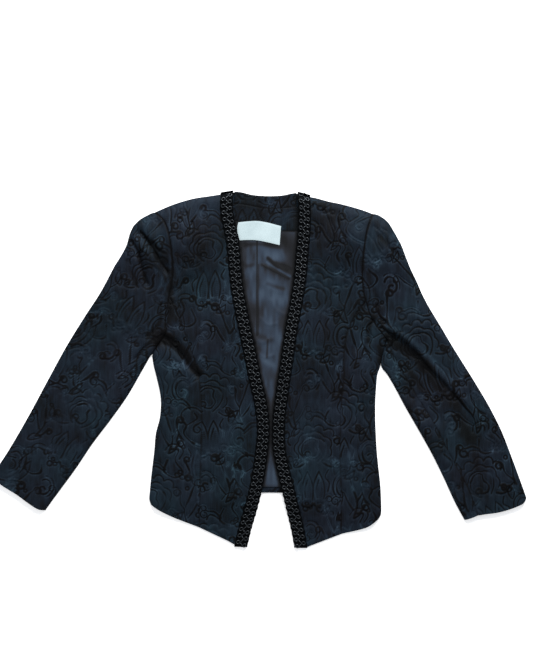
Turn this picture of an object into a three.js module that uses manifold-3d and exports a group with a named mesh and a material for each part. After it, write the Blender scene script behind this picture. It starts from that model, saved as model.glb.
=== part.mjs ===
// A short open-front jacket in raised brocade, edged with looped braid, laid flat on its back.
// Millimetres. +X is towards the wearer's left, +Y towards the neck and +Z up. The origin is on the
// surface it lies on, under the middle of the garment. Right and left are the wearer's.
import * as THREE from "three";
import { mergeVertices } from "three/addons/utils/BufferGeometryUtils.js";
import Module from "manifold-3d";

// Cloth and seams
const CLOTH = 1.6; // brocade with its backing
const LINING = 1.0;
const LABEL = 0.8;
const SEAM_GAP = 0.34; // between any two pieces
const EDGE_BASE = CLOTH + SEAM_GAP; // where an upper layer meets the layer under it
const EDGE_ROLL = 16; // how far in from a folded edge the cloth takes to reach its height
const BODY_HEIGHT = 7; // top of the fronts where they lie flattest
const SLEEVE_HEIGHT = 7.2;
const TIP_HEIGHT = 1.9; // the front points, which droop past the back hem onto the surface
const TIP_START = 28; // how far past the back hem a front begins to come down, and is down
const TIP_DROOP = 56;
const TO_MIDDLE = { x: 2.63, y: 1.43 }; // brings the middle of the garment over the origin
const LINING_TOP = EDGE_BASE + LINING;

// Braid
const BRAID_WIDTH = 26;
const BRAID_PITCH = 12.8; // one loop of a row to the next
const BRAID_OVERHANG = 1.5; // past the cloth's edge
const BRAID_THICK = 2.3;
const BRAID_SCALLOP = 1.1;
const BAND_WIDTH = 27.5; // strip of a front that carries the braid

// The lines of the garment as it lies. Each row is x, y; lines of the body run from hem to neck and
// lines of the sleeves from cuff to shoulder.
const LINES = {
  right: {
    side: [[-208.5, -258], [-211.5, -248], [-210.5, -232], [-208, -205], [-202, -155], [-199, -122], [-192, -95],
      [-189.5, -69], [-190.5, -50], [-197, -19], [-203.5, 7], [-205.3, 18], [-205.9, 24],
      [-205, 29.5], [-202, 35], [-198.2, 41], [-184, 60]],
    armhole: [[-184, 60], [-178.5, 72], [-179.5, 86], [-179, 103], [-174, 131], [-169, 163], [-166.5, 190],
      [-168, 216], [-171.5, 243], [-176, 264], [-185, 283], [-200.5, 298]],
    shoulder: [[-200.5, 298], [-192, 302], [-164, 313.5], [-128, 324], [-96, 329], [-76, 332], [-51, 336]],
    princess: [[-117, -301.5], [-114, -190], [-112, -114], [-113, -54], [-121, 0], [-136, 47],
      [-155, 98], [-172, 138]],
    edge: [[-25, -339], [-17, -306], [-6, -268], [3.5, -230], [10.5, -192], [15.4, -154], [18.2, -125],
      [17.8, -98], [12.4, -59], [3.8, -21], [-7.8, 36], [-23.5, 112], [-30.5, 150], [-35, 188],
      [-38, 226], [-42, 255], [-48, 283], [-51.5, 305], [-51, 336]],
    hem: [[-208.5, -258], [-196, -267], [-169, -281], [-117, -301.5], [-64, -326.5], [-40, -338.5], [-25, -339]],
    sleeveInner: [[-409.5, -269], [-396, -250], [-382, -231], [-350.5, -188], [-320, -142.5], [-285.5, -97],
      [-253, -51], [-227, -6], [-215, 15], [-210.3, 23.5], [-206.6, 30.4], [-203.2, 35.8], [-199.2, 41.7],
      [-184, 60]],
    sleeveOuter: [[-511.3, -202.4], [-482.8, -160.4], [-441.8, -90.4], [-402.8, -18], [-368.5, 44.5],
      [-333.5, 101.2], [-305, 145], [-277.8, 196]],
    capOuter: [[-277.8, 196], [-264.5, 217], [-254.7, 236], [-249.2, 256], [-242.5, 271.5]],
    capTop: [[-242.5, 271.5], [-229, 284.5], [-212.5, 293.5], [-200.5, 298]],
    cuff: [[-511.3, -202.4], [-496, -218], [-462, -240], [-443, -254], [-422, -267], [-409.5, -269]],
    cuffTurn: null,
    sleeveSeam: null,
  },
  left: {
    side: [[224, -286], [229, -277], [229.8, -262], [229.2, -243], [228, -220], [224.5, -188], [221.5, -158],
      [219.5, -125], [218.3, -90], [218.7, -57], [220.3, -33], [222.5, -10], [227.5, 4], [229.8, 14],
      [232.3, 26], [235.2, 38], [240, 55]],
    armhole: [[240, 55], [230, 68], [220, 80], [208.5, 101], [201.5, 122], [197, 143], [194, 168],
      [194, 201], [197, 234], [202, 262], [208, 281], [213.5, 295]],
    shoulder: [[213.5, 295], [193, 302.5], [154, 313.5], [130, 318.5], [106, 325], [88, 328.5], [70, 334]],
    princess: [[154, -314], [153, -219], [151, -169], [151.5, -118], [153, -67], [158, -19], [158, 18],
      [162, 58], [175, 93], [199, 129]],
    edge: [[64, -340], [57.6, -306], [48.5, -268], [39.5, -230], [30, -192], [22.6, -154], [21.2, -125],
      [22.3, -90], [26.2, -59], [31.2, -21], [37.2, 17], [45, 74], [52, 112], [60, 158], [63.5, 188],
      [65.6, 217], [68.6, 248], [71, 292], [70, 334]],
    hem: [[224, -286], [203, -301], [154, -314], [99, -335], [84, -340.5], [64, -340]],
    sleeveInner: [[388.5, -287.5], [371.5, -256.5], [350.5, -211], [328, -165], [303, -120], [276.5, -74],
      [252, -28.5], [240, -9], [233.6, 0], [230.9, 7], [230.9, 14], [233, 26], [235.9, 38], [240, 55]],
    sleeveOuter: [[506, -245], [493.7, -210.5], [476.7, -164.5], [459.2, -119.5], [436.2, -73.5], [409.5, -28],
      [381, 17.5], [360, 51.5], [346.6, 74.5], [332.6, 97.5], [318.6, 120.8]],
    capOuter: [[318.6, 120.8], [307.2, 143.2], [297.3, 166], [286.3, 189], [277, 212], [268.5, 234.5], [256, 258]],
    capTop: [[256, 258], [242, 279.8], [227, 291], [213.5, 295]],
    cuff: [[506, -245], [500.5, -254.5], [488, -261.5], [456, -272], [426, -276.5], [413, -278.5]],
    cuffTurn: [[388.5, -287.5], [401, -283.5], [413, -278.5]],
    sleeveSeam: [[413, -278.5], [396, -230], [356, -155], [326, -97], [298, -53], [270, -5], [252, 29],
      [240, 55]],
  },
};
const BACK_HEM = [[-208.5, -258], [-120, -246], [-40, -237], [12, -235.5], [70, -238], [150, -255], [224, -286]];
const NECK_SEAM = [[-49.4, 314], [-30, 312.5], [-10, 309], [9, 306], [29, 305.5], [48, 306.5], [68.6, 308.5]];
const NECK_TOP = [[-49, 337.5], [-38, 336.5], [-17, 331.5], [4, 329.3], [23, 329], [42, 330.3], [58, 333.5],
  [67.6, 335]];
const FACING_SEAM = [[-78, 285], [-43, 281], [0, 274], [28, 265], [44, 262.8], [62, 262.5], [94, 262]];
const FACING_SIDES = [
  [[-78, 285], [-76, 298], [-64, 308], [-49.4, 314]],
  [[94, 262], [97, 282], [87, 299], [68.6, 308.5]],
];
const LINING_SIDES = [
  [[-88, -226], [-86, -60], [-83, 120], [-78, 285]],
  [[112, -229], [104, -60], [98, 120], [94, 262]],
];
const LINING_HEM = [[-88, -226], [-20, -224.5], [12, -224], [50, -224.5], [112, -229]];
const LABEL_TOP = [[-42.2, 278.8], [-20, 281], [-7, 281.4], [10, 279], [39, 271.7]];
const LABEL_FOOT = [[-39.4, 244.7], [-23, 245.4], [-7, 244.7], [12, 241.2], [36.3, 235.6]];
const LABEL_SIDES = [
  [[-39.4, 244.7], [-43, 256], [-44.3, 267], [-42.2, 278.8]],
  [[36.3, 235.6], [39, 271.7]],
];

// Where the laid cloth stands up from its flattest: middle, reach across and along, extra height.
const BODY_SWELLS = [
  { x: -150, y: 245, across: 62, along: 62, rise: 13 }, // right shoulder pad
  { x: 180, y: 245, across: 62, along: 62, rise: 14 },
  { x: -95, y: 60, across: 70, along: 85, rise: 4.5 }, // bust
  { x: 125, y: 55, across: 66, along: 90, rise: 4.5 },
  { x: -60, y: 318, across: 42, along: 40, rise: 3 }, // sides of the neck
  { x: 84, y: 315, across: 42, along: 40, rise: 3 },
];
const SLEEVE_SWELLS = {
  right: [
    { x: -215, y: 235, across: 50, along: 58, rise: 14 },
    { x: -250, y: 110, across: 55, along: 70, rise: 3 },
    { x: -430, y: -190, across: 70, along: 70, rise: -1 }, // cuff lies flatter
  ],
  left: [
    { x: 235, y: 230, across: 50, along: 70, rise: 14 },
    { x: 290, y: 95, across: 50, along: 60, rise: 5 },
    { x: 450, y: -230, across: 70, along: 70, rise: -1 },
  ],
};
// Folds as soft troughs: they start, pass and end at these points.
const BODY_FOLDS = [
  { from: [-190, 54], by: [-160, 36], to: [-118, -11], half: 11, depth: 3 },
  { from: [-166, 146], by: [-150, 158], to: [-128, 172], half: 8, depth: 2 },
  { from: [200, 118], by: [186, 84], to: [182, 40], half: 10, depth: 2.5 },
];
const SLEEVE_FOLDS = {
  right: [
    { from: [-231, 258], by: [-204, 228], to: [-174, 185], half: 8, depth: 6 },
    { from: [-247, 246], by: [-230, 213], to: [-214, 160], half: 8, depth: 4 },
  ],
  left: [{ from: [246, 50], by: [262, 34], to: [296, 4], half: 10, depth: 3 }],
};
// Wrinkles of the lining as soft ridges, and its centre pleat.
const LINING_WRINKLES = [
  { from: [14, 211], by: [36, 192], to: [58, 179], half: 5, depth: 0.9 },
  { from: [8, 160], by: [26, 150], to: [46, 146], half: 6, depth: 0.7 },
  { from: [-26, 200], by: [-20, 150], to: [-16, 90], half: 6, depth: 0.5 },
];
const PLEAT = { x: -6.5, top: 236, half: 5, rise: 1.1 };
// A ridge: the cloth is lower on the side of it towards the body.
const LEFT_SLEEVE_RIDGE = {
  path: [[223, 84], [244, 70], [265, 58], [297, 30.5], [324, -2], [354, -32], [394, -78], [411, -120], [425, -173]],
  drop: 5,
  half: 8,
};

// Curves in plan

function splineOf(rows) {
  return new THREE.CatmullRomCurve3(rows.map(([x, y]) => new THREE.Vector3(x, y, 0)), false, "centripetal");
}

// Points on the line through the rows, at these shares of its length.
function at(rows, shares) {
  const spline = splineOf(rows);
  return shares.map((s) => spline.getPointAt(s));
}

const evenShares = (count) => Array.from({ length: count }, (_, i) => i / (count - 1));

function lineLength(rows) {
  return splineOf(rows).getLength();
}

function shareAlong(points) {
  const sums = [0];
  for (let i = 1; i < points.length; i++) sums.push(sums[i - 1] + points[i].distanceTo(points[i - 1]));
  return sums.map((s, i) => (sums.at(-1) ? s / sums.at(-1) : i / (sums.length - 1)));
}

// Even shares, drawn together towards the ends where the cloth rolls over an edge.
function rollShares(length, inner, rollsAtStart, rollsAtEnd) {
  const near = [0, 1.6, 5, 10.5, 18];
  const start = rollsAtStart ? near.map((d) => d / length) : [0];
  const end = rollsAtEnd ? near.map((d) => 1 - d / length).reverse() : [1];
  const from = start.at(-1);
  const to = end[0];
  const between = Array.from({ length: inner }, (_, i) => from + ((to - from) * (i + 1)) / (inner + 1));
  return [...start, ...between, ...end];
}

function distanceTo(points, x, y) {
  let best = Infinity;
  for (let i = 1; i < points.length; i++) {
    const [a, b] = [points[i - 1], points[i]];
    const [dx, dy] = [b.x - a.x, b.y - a.y];
    const t = THREE.MathUtils.clamp(((x - a.x) * dx + (y - a.y) * dy) / (dx * dx + dy * dy || 1), 0, 1);
    best = Math.min(best, Math.hypot(x - a.x - t * dx, y - a.y - t * dy));
  }
  return best;
}

const smooth = (low, high, value) => THREE.MathUtils.smoothstep(value, low, high);

// Height of the laid cloth

function rollOver(distance) {
  const t = Math.min(distance / EDGE_ROLL, 1);
  return Math.sqrt(1 - (1 - t) ** 2);
}

function swell({ x, y, across, along, rise }, px, py) {
  return rise * Math.exp(-(((px - x) / across) ** 2) - ((py - y) / along) ** 2);
}

// Full in the middle of a fold's line, and fading to its ends.
function foldDepth(fold, px, py) {
  fold.points ??= at([fold.from, fold.by, fold.to], evenShares(9));
  const distance = distanceTo(fold.points, px, py);
  return fold.depth * Math.exp(-((distance / fold.half) ** 2));
}

function ridgeDrop(ridge, px, py) {
  ridge.points ??= at(ridge.path, evenShares(17));
  let nearest = 0;
  let best = Infinity;
  ridge.points.forEach((p, i) => {
    const d = Math.hypot(px - p.x, py - p.y);
    if (d < best) [best, nearest] = [d, i];
  });
  const a = ridge.points[Math.max(nearest - 1, 0)];
  const b = ridge.points[Math.min(nearest + 1, ridge.points.length - 1)];
  const side = ((b.x - a.x) * (py - a.y) - (b.y - a.y) * (px - a.x)) / Math.hypot(b.x - a.x, b.y - a.y);
  const fade = 1 - smooth(0.45, 1, nearest / (ridge.points.length - 1));
  return ridge.drop * fade * (1 - smooth(-ridge.half, ridge.half, side)) * (1 - smooth(40, 90, best));
}

const dense = {};
for (const [name, lines] of Object.entries(LINES)) {
  dense[name] = {
    side: at(lines.side, evenShares(60)),
    shoulder: at(lines.shoulder, evenShares(40)),
    armhole: at(lines.armhole, evenShares(40)),
    inner: at(lines.sleeveInner, evenShares(60)),
    outer: [...at(lines.sleeveOuter, evenShares(50)), ...at(lines.capOuter, evenShares(30))],
    capTop: at(lines.capTop, evenShares(20)),
  };
}
const denseBackHem = at(BACK_HEM, evenShares(60));

// How far a point is past the back's hem.
function pastHem(x, y) {
  const inside = THREE.MathUtils.clamp(x, denseBackHem[0].x, denseBackHem.at(-1).x - 0.1);
  const i = Math.max(denseBackHem.findIndex((p) => p.x > inside), 1);
  const [a, b] = [denseBackHem[i - 1], denseBackHem[i]];
  return a.y + ((b.y - a.y) * (x - a.x)) / (b.x - a.x) - y;
}

function bodyLow(x, y) {
  return EDGE_BASE * (1 - smooth(TIP_START, TIP_DROOP, pastHem(x, y)));
}

// Outer surface of the fronts.
function bodyTop(x, y) {
  let height = BODY_HEIGHT;
  for (const s of BODY_SWELLS) height += swell(s, x, y);
  for (const f of BODY_FOLDS) height -= foldDepth(f, x, y);
  height += (TIP_HEIGHT - height) * smooth(0, TIP_DROOP, pastHem(x, y));
  const edges = dense[x < 22 ? "right" : "left"];
  const roll = rollOver(distanceTo(edges.side, x, y)) * rollOver(distanceTo(edges.shoulder, x, y));
  const low = bodyLow(x, y);
  return low + (Math.max(height, low + CLOTH + 0.2) - low) * roll;
}

// Upper surface of a sleeve, which starts from the body's height at the armhole seam.
function sleeveTop(side, x, y) {
  const edges = dense[side];
  let height = SLEEVE_HEIGHT;
  for (const s of SLEEVE_SWELLS[side]) height += swell(s, x, y);
  for (const f of SLEEVE_FOLDS[side]) height -= foldDepth(f, x, y);
  if (side === "left") height -= ridgeDrop(LEFT_SLEEVE_RIDGE, x, y);
  const sides = [edges.outer, edges.inner, edges.capTop].map((line) => rollOver(distanceTo(line, x, y)));
  const own = EDGE_BASE + (Math.max(height, 4.5) - EDGE_BASE) * sides[0] * sides[1] * sides[2];
  return THREE.MathUtils.lerp(bodyTop(x, y), own, smooth(0, 18, distanceTo(edges.armhole, x, y)));
}

function liningTop(x, y) {
  let height = LINING_TOP;
  for (const w of LINING_WRINKLES) height += foldDepth(w, x, y);
  const across = Math.exp(-(((x - PLEAT.x) / PLEAT.half) ** 2));
  return height + PLEAT.rise * across * smooth(0, 40, PLEAT.top - y);
}

// Solids

// A net of points inside four borders that meet at their corners, row by row from the bottom.
function net(bottom, top, left, right) {
  const [ub, ut, vl, vr] = [bottom, top, left, right].map(shareAlong);
  const corners = [bottom[0], bottom.at(-1), top[0], top.at(-1)];
  return left.map((l, j) =>
    bottom.map((b, i) => {
      const vMiddle = (vl[j] + vr[j]) / 2;
      const u = ub[i] * (1 - vMiddle) + ut[i] * vMiddle;
      const v = vl[j] * (1 - u) + vr[j] * u;
      const weights = [-(1 - u) * (1 - v), -u * (1 - v), -(1 - u) * v, -u * v];
      const p = new THREE.Vector3()
        .addScaledVector(b, 1 - v)
        .addScaledVector(top[i], v)
        .addScaledVector(l, 1 - u)
        .addScaledVector(right[j], u);
      corners.forEach((c, k) => p.addScaledVector(c, weights[k]));
      return p;
    }),
  );
}

// The same net for the wearer's left side, whose borders come in the opposite order.
function sideNet(side, bottom, top, outer, inner) {
  return side === "right"
    ? net(bottom, top, outer, inner)
    : net([...bottom].reverse(), [...top].reverse(), inner, outer);
}

const isTip = (row) => row[0].distanceTo(row.at(-1)) < 1e-6;

// Directions into the piece, in plan, at a point of the border: one, or two at a corner or a tip.
function inwards(rows, j, i) {
  const last = rows.length - 1;
  const end = rows[0].length - 1;
  if (isTip(rows[j])) {
    const [left, right] = [0, end].map((k) => rows[j][k].clone().sub(rows[j - 1][k]));
    return [new THREE.Vector3(left.y, -left.x, 0), new THREE.Vector3(-right.y, right.x, 0)].map((d) => d.normalize());
  }
  const along = rows[j][Math.min(i + 1, end)].clone().sub(rows[j][Math.max(i - 1, 0)]);
  const up = rows[Math.min(j + 1, last)][i].clone().sub(rows[Math.max(j - 1, 0)][i]);
  const found = [];
  if (j === 0) found.push(new THREE.Vector3(-along.y, along.x, 0));
  if (j === last) found.push(new THREE.Vector3(along.y, -along.x, 0));
  if (i === 0) found.push(new THREE.Vector3(up.y, -up.x, 0));
  if (i === end) found.push(new THREE.Vector3(-up.y, up.x, 0));
  return found.map((direction) => direction.normalize());
}

// The net with its border drawn in, so that neighbours stand a seam's gap apart.
function drawnIn(rows, by = SEAM_GAP / 2) {
  return rows.map((row, j) =>
    row.map((p, i) => {
      const [first, second] = inwards(rows, j, i);
      if (!first) return p.clone();
      if (!second) return p.clone().addScaledVector(first, by);
      const corner = first.clone().add(second);
      return p.clone().addScaledVector(corner, by / Math.max(1 + first.dot(second), 0.05));
    }),
  );
}

function raised(rows, height) {
  return rows.map((row) => row.map((p) => new THREE.Vector3(p.x, p.y, height(p.x, p.y))));
}

function normalAt(rows, j, i) {
  const row = rows[j];
  if (isTip(row)) return new THREE.Vector3(0, 0, 1);
  const across = row[Math.min(i + 1, row.length - 1)].clone().sub(row[Math.max(i - 1, 0)]);
  const along = rows[Math.min(j + 1, rows.length - 1)][i].clone().sub(rows[Math.max(j - 1, 0)][i]);
  return across.cross(along).normalize();
}

function movedOut(rows, by) {
  return rows.map((row, j) => row.map((p, i) => p.clone().addScaledVector(normalAt(rows, j, i), by)));
}

// The points behind a surface, a wall's thickness in. At the border they keep inside the piece.
function behind(rows, thickness, lowest) {
  return rows.map((row, j) =>
    row.map((p, i) => {
      const step = normalAt(rows, j, i).multiplyScalar(-thickness);
      for (const direction of inwards(rows, j, i)) {
        step.addScaledVector(direction, Math.max(-step.dot(direction), 0));
      }
      const inner = p.clone().add(step);
      inner.z = Math.max(inner.z, lowest(inner.x, inner.y));
      return inner;
    }),
  );
}

// The closed solid between an upper and a lower net.
function between(upper, lower) {
  const [n, m] = [upper.length, upper[0].length];
  const points = [...upper.flat(), ...lower.flat()];
  const top = (j, i) => j * m + i;
  const under = (j, i) => n * m + j * m + i;
  const faces = [];
  const quad = (a, b, c, d) => faces.push(a, b, c, a, c, d);
  for (let j = 0; j < n - 1; j++) {
    for (let i = 0; i < m - 1; i++) {
      quad(top(j, i), top(j, i + 1), top(j + 1, i + 1), top(j + 1, i));
      quad(under(j, i), under(j + 1, i), under(j + 1, i + 1), under(j, i + 1));
    }
    quad(top(j, 0), top(j + 1, 0), under(j + 1, 0), under(j, 0));
    quad(top(j, m - 1), under(j, m - 1), under(j + 1, m - 1), top(j + 1, m - 1));
  }
  for (let i = 0; i < m - 1; i++) {
    quad(top(0, i), under(0, i), under(0, i + 1), top(0, i + 1));
    quad(top(n - 1, i), top(n - 1, i + 1), under(n - 1, i + 1), under(n - 1, i));
  }
  const geometry = new THREE.BufferGeometry();
  geometry.setAttribute("position", new THREE.Float32BufferAttribute(points.flatMap((p) => p.toArray()), 3));
  geometry.setIndex(faces);
  return withoutSlivers(mergeVertices(geometry, 1e-4));
}

// At a tip the points of a row are one, and leave faces with no area.
function withoutSlivers(geometry) {
  const index = geometry.index.array;
  const kept = [];
  for (let f = 0; f < index.length; f += 3) {
    const [a, b, c] = index.slice(f, f + 3);
    if (a !== b && b !== c && c !== a) kept.push(a, b, c);
  }
  geometry.setIndex(kept);
  return geometry;
}

// A wall of cloth on a net, its outer face at the given height.
function cloth(rows, height, lowest) {
  const outer = raised(drawnIn(rows), height);
  return between(outer, behind(outer, CLOTH, lowest));
}

function plate(rows, low, high) {
  const flat = drawnIn(rows);
  return between(raised(flat, high), raised(flat, low));
}

const wasm = await Module();
wasm.setup();

function joined(...geometries) {
  const solids = geometries.map((geometry) => {
    const merged = mergeVertices(geometry, 1e-4);
    return new wasm.Manifold(
      new wasm.Mesh({
        numProp: 3,
        vertProperties: merged.attributes.position.array,
        triVerts: new Uint32Array(merged.index.array),
      }),
    );
  });
  const mesh = solids[0].add(solids[1]).getMesh();
  const geometry = new THREE.BufferGeometry();
  geometry.setAttribute("position", new THREE.BufferAttribute(mesh.vertProperties, 3));
  geometry.setIndex(new THREE.BufferAttribute(mesh.triVerts, 1));
  return geometry;
}

// Materials

const brocade = new THREE.MeshStandardMaterial({ color: 0x1d2229, roughness: 0.62, metalness: 0 });
const satin = new THREE.MeshStandardMaterial({ color: 0x3a4350, roughness: 0.38, metalness: 0 });
const gimp = new THREE.MeshStandardMaterial({ color: 0x0b0c0f, roughness: 0.35, metalness: 0 });
const woven = new THREE.MeshStandardMaterial({ color: 0xdfe4ea, roughness: 0.7, metalness: 0 });

const jacket = new THREE.Group();

function add(name, geometry, material) {
  const mesh = new THREE.Mesh(geometry, material);
  mesh.name = name;
  jacket.add(mesh);
}

// Body

const SIDE_ROWS = 15;
const UNDERARM_STEPS = 7; // from the underarm up to the seam between the fronts
const PRINCESS_ROWS = SIDE_ROWS + UNDERARM_STEPS;

function armholeOf(side) {
  const { armhole, princess } = LINES[side];
  const length = lineLength(armhole);
  const spline = splineOf(armhole);
  let seam = 0;
  while (spline.getPointAt(seam / length).y < princess.at(-1)[1]) seam += 0.5;
  const lower = evenShares(UNDERARM_STEPS + 1).map((s) => (s ** 1.3 * seam) / length);
  const upper = rollShares(length - seam, 7, false, true).slice(1);
  return at(armhole, [...lower, ...upper.map((s) => (seam + s * (length - seam)) / length)]);
}

function princessOf(side, armhole) {
  const meet = armhole[UNDERARM_STEPS];
  return at([...LINES[side].princess.slice(0, -1), [meet.x, meet.y]], evenShares(PRINCESS_ROWS));
}

// The line a distance in from the front edge, which starts on the hem and ends on the shoulder.
function edgeBand(side, hem, count, distance) {
  const { edge, shoulder } = LINES[side];
  const turn = side === "right" ? 1 : -1;
  const points = at(edge, rollShares(lineLength(edge), count, false, true));
  const top = points.at(-1);
  const alongShoulder = at(shoulder, [1 - distance / lineLength(shoulder)])[0].sub(top);
  return points.map((p, j) => {
    if (j === 0) return at(hem, [1 - distance / lineLength(hem)])[0];
    const up = points[Math.min(j + 1, points.length - 1)].clone().sub(points[j - 1]).normalize();
    const square = new THREE.Vector3(-up.y * turn, up.x * turn, 0).multiplyScalar(distance);
    return p.clone().add(square.lerp(alongShoulder, 1 - smooth(18.5, 75, p.distanceTo(top))));
  });
}

// Columns of a front from the seam to the edge: a net, then the band under the braid.
function frontNet(side, outer, hem) {
  const inner = outer.length - 6;
  const [edge, middle, band] = [BRAID_OVERHANG, BAND_WIDTH / 2, BAND_WIDTH].map((d) =>
    edgeBand(side, hem, inner, d),
  );
  const across = evenShares(8);
  const shoulder = LINES[side].shoulder;
  const hemShare = 1 - BAND_WIDTH / lineLength(hem);
  const shoulderShare = 1 - BAND_WIDTH / lineLength(shoulder);
  const rows = sideNet(
    side,
    at(hem, across.map((s) => s * hemShare)),
    at(shoulder, across.map((s) => s * shoulderShare)),
    outer,
    band,
  );
  return rows.map((row, j) => {
    return side === "right" ? [...row, middle[j], edge[j]] : [edge[j], middle[j], ...row];
  });
}

// The braid lies on the band of its front and takes its points from there.
function braidOn(frontRows, side) {
  const band = frontRows.map((row) => (side === "right" ? row.slice(-3) : row.slice(0, 3).reverse()));
  const shares = shareAlong(band.map((row) => row[2]));
  const length = lineLength(LINES[side].edge);
  const count = 2 * Math.round(length / BRAID_PITCH) + 1;
  const roll = shares.slice(-5);
  const steps = [...evenShares(count).filter((share) => share < roll[0] - 0.5 / count), ...roll];
  const rows = steps.map((share, k) => {
    const j = Math.min(shares.findLastIndex((s) => s <= share), band.length - 2);
    const t = (share - shares[j]) / (shares[j + 1] - shares[j]);
    const [far, middle, edge] = band[j].map((p, i) => p.clone().lerp(band[j + 1][i], t));
    const notch = k % 2 ? BRAID_SCALLOP : 0;
    const outside = (BRAID_OVERHANG - notch) / (BAND_WIDTH / 2 - BRAID_OVERHANG);
    const inside = (BRAID_WIDTH - notch - BAND_WIDTH / 2) / (BAND_WIDTH / 2);
    const row = [middle.clone().lerp(far, inside), middle, edge.clone().lerp(middle, -outside)];
    return side === "right" ? row : row.reverse();
  });
  return between(movedOut(rows, SEAM_GAP + BRAID_THICK), movedOut(rows, SEAM_GAP));
}

function makeFronts(side, armhole) {
  const lines = LINES[side];
  const princess = princessOf(side, armhole);
  const split = lines.hem.findIndex(([x]) => x === lines.princess[0][0]);
  const underarm = armhole.slice(0, UNDERARM_STEPS + 1);
  const across = [0, 0.03, 0.09, 0.2, 0.36, 0.52, 0.68, 0.84, 1];
  const sideFront = sideNet(
    side,
    at(lines.hem.slice(0, split + 1), across),
    across.map(() => princess.at(-1)),
    [...at(lines.side, evenShares(SIDE_ROWS)), ...underarm.slice(1)],
    princess,
  );
  add(`side_front_${side}`, cloth(sideFront, bodyTop, bodyLow), brocade);
  const front = frontNet(side, [...princess, ...armhole.slice(UNDERARM_STEPS + 1)], lines.hem.slice(split));
  add(`front_${side}`, cloth(front, bodyTop, bodyLow), brocade);
  add(`braid_${side}`, braidOn(raised(drawnIn(front), bodyTop), side), gimp);
}

const BACK_ARMHOLE = 9;
const BACK_SIDE = 14;

function backBorder(side) {
  const { side: seam, armhole } = LINES[side];
  return [...at(seam, evenShares(BACK_SIDE)), ...at(armhole, evenShares(BACK_ARMHOLE)).slice(1)];
}

function makeBack() {
  const neck = [LINES.right.shoulder.at(-1), ...NECK_TOP.slice(1, -1), LINES.left.shoulder.at(-1)];
  const top = [
    ...at(LINES.right.shoulder, evenShares(6)),
    ...at(neck, evenShares(8)).slice(1),
    ...at(LINES.left.shoulder, evenShares(6)).reverse().slice(1),
  ];
  const rows = net(at(BACK_HEM, shareAlong(top)), top, backBorder("right"), backBorder("left"));
  add("back", plate(rows, () => 0, () => CLOTH), brocade);
}

// Shares across the lining, closer over its pleat and its wrinkles.
const LINING_ACROSS = [
  0, 0.14, 0.24, 0.32, 0.365, 0.39, 0.415, 0.44, 0.48, 0.54, 0.61, 0.68, 0.75, 0.82, 0.9, 1,
];

function makeNeck() {
  const seam = at(NECK_SEAM, LINING_ACROSS);
  const [left, right] = [[NECK_SEAM[0], NECK_TOP[0]], [NECK_SEAM.at(-1), NECK_TOP.at(-1)]];
  const band = net(seam, at(NECK_TOP, LINING_ACROSS), at(left, evenShares(3)), at(right, evenShares(3)));
  add("back_neck_band", plate(band, () => EDGE_BASE, () => EDGE_BASE + CLOTH), brocade);
  const sides = FACING_SIDES.map((rows) => at(rows, evenShares(6)));
  const facing = net(at(FACING_SEAM, LINING_ACROSS), seam, ...sides);
  add("back_neck_facing", plate(facing, () => EDGE_BASE, () => EDGE_BASE + CLOTH), brocade);
}

function makeLining() {
  const sides = LINING_SIDES.map((rows) => at(rows, evenShares(24)));
  const rows = net(at(LINING_HEM, LINING_ACROSS), at(FACING_SEAM, LINING_ACROSS), ...sides);
  add("back_lining", plate(rows, () => EDGE_BASE, liningTop), satin);
}

function makeLabel() {
  const [top, foot] = [LABEL_TOP, LABEL_FOOT].map((rows) => at(rows, evenShares(9)));
  const [right, left] = LABEL_SIDES.map((rows) => at(rows, evenShares(5)));
  const low = EDGE_BASE + CLOTH + SEAM_GAP;
  add("label", plate(net(foot, top, right, left), () => low, () => low + LABEL), woven);
}

// Sleeves

const SLEEVE_ROWS = 18;

function makeSleeve(side, armhole) {
  const { sleeveOuter, sleeveInner, sleeveSeam, capOuter, capTop, cuff, cuffTurn } = LINES[side];
  const top = (x, y) => sleeveTop(side, x, y);
  const low = () => EDGE_BASE;
  const under = sleeveUnderside(side);
  // Where the seam shows on top, the under part comes up round the folded edge to it.
  const inner = sleeveSeam ?? sleeveInner;
  const innerLine = at(inner, evenShares(SLEEVE_ROWS));
  const capShares = shareAlong(armhole);
  const outerPoints = [...at(sleeveOuter, evenShares(SLEEVE_ROWS)), ...at(capOuter, capShares).slice(1)];
  const across = rollShares(lineLength(cuff), sleeveSeam ? 6 : 4, true, !sleeveSeam);
  const upper = sideNet(
    side,
    at(cuff, across),
    at(capTop, evenShares(across.length)),
    outerPoints,
    [...innerLine, ...armhole.slice(1)],
  );
  add(`sleeve_upper_${side}`, cloth(upper, top, low), brocade);
  if (!sleeveSeam) {
    add(`sleeve_under_${side}`, under, brocade);
    return;
  }
  const fold = dense[side].inner;
  const sunk = EDGE_BASE - CLOTH / 2;
  const strip = net(
    at(cuffTurn, [0, 0.12, 0.4, 1]),
    Array(4).fill(armhole[0]),
    at(sleeveInner, evenShares(SLEEVE_ROWS)),
    innerLine,
  );
  const stripTop = (x, y) => top(x, y) - sunk * (1 - smooth(0, 4, distanceTo(fold, x, y)));
  add(`sleeve_under_${side}`, joined(under, cloth(strip, stripTop, () => CLOTH / 2)), brocade);
}

function sleeveUnderside(side) {
  const { sleeveOuter, sleeveInner, capOuter, capTop, armhole, cuff, cuffTurn } = LINES[side];
  const wholeCuff = cuffTurn ? [...cuff, ...[...cuffTurn].reverse().slice(1)] : cuff;
  const inner = [...at(sleeveInner, evenShares(12)), ...at(armhole, evenShares(BACK_ARMHOLE)).slice(1)];
  const outer = [...at(sleeveOuter, evenShares(12)), ...at(capOuter, evenShares(BACK_ARMHOLE)).slice(1)];
  const rows = sideNet(side, at(wholeCuff, evenShares(7)), at(capTop, evenShares(7)), outer, inner);
  return plate(rows, () => 0, () => CLOTH);
}

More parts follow.
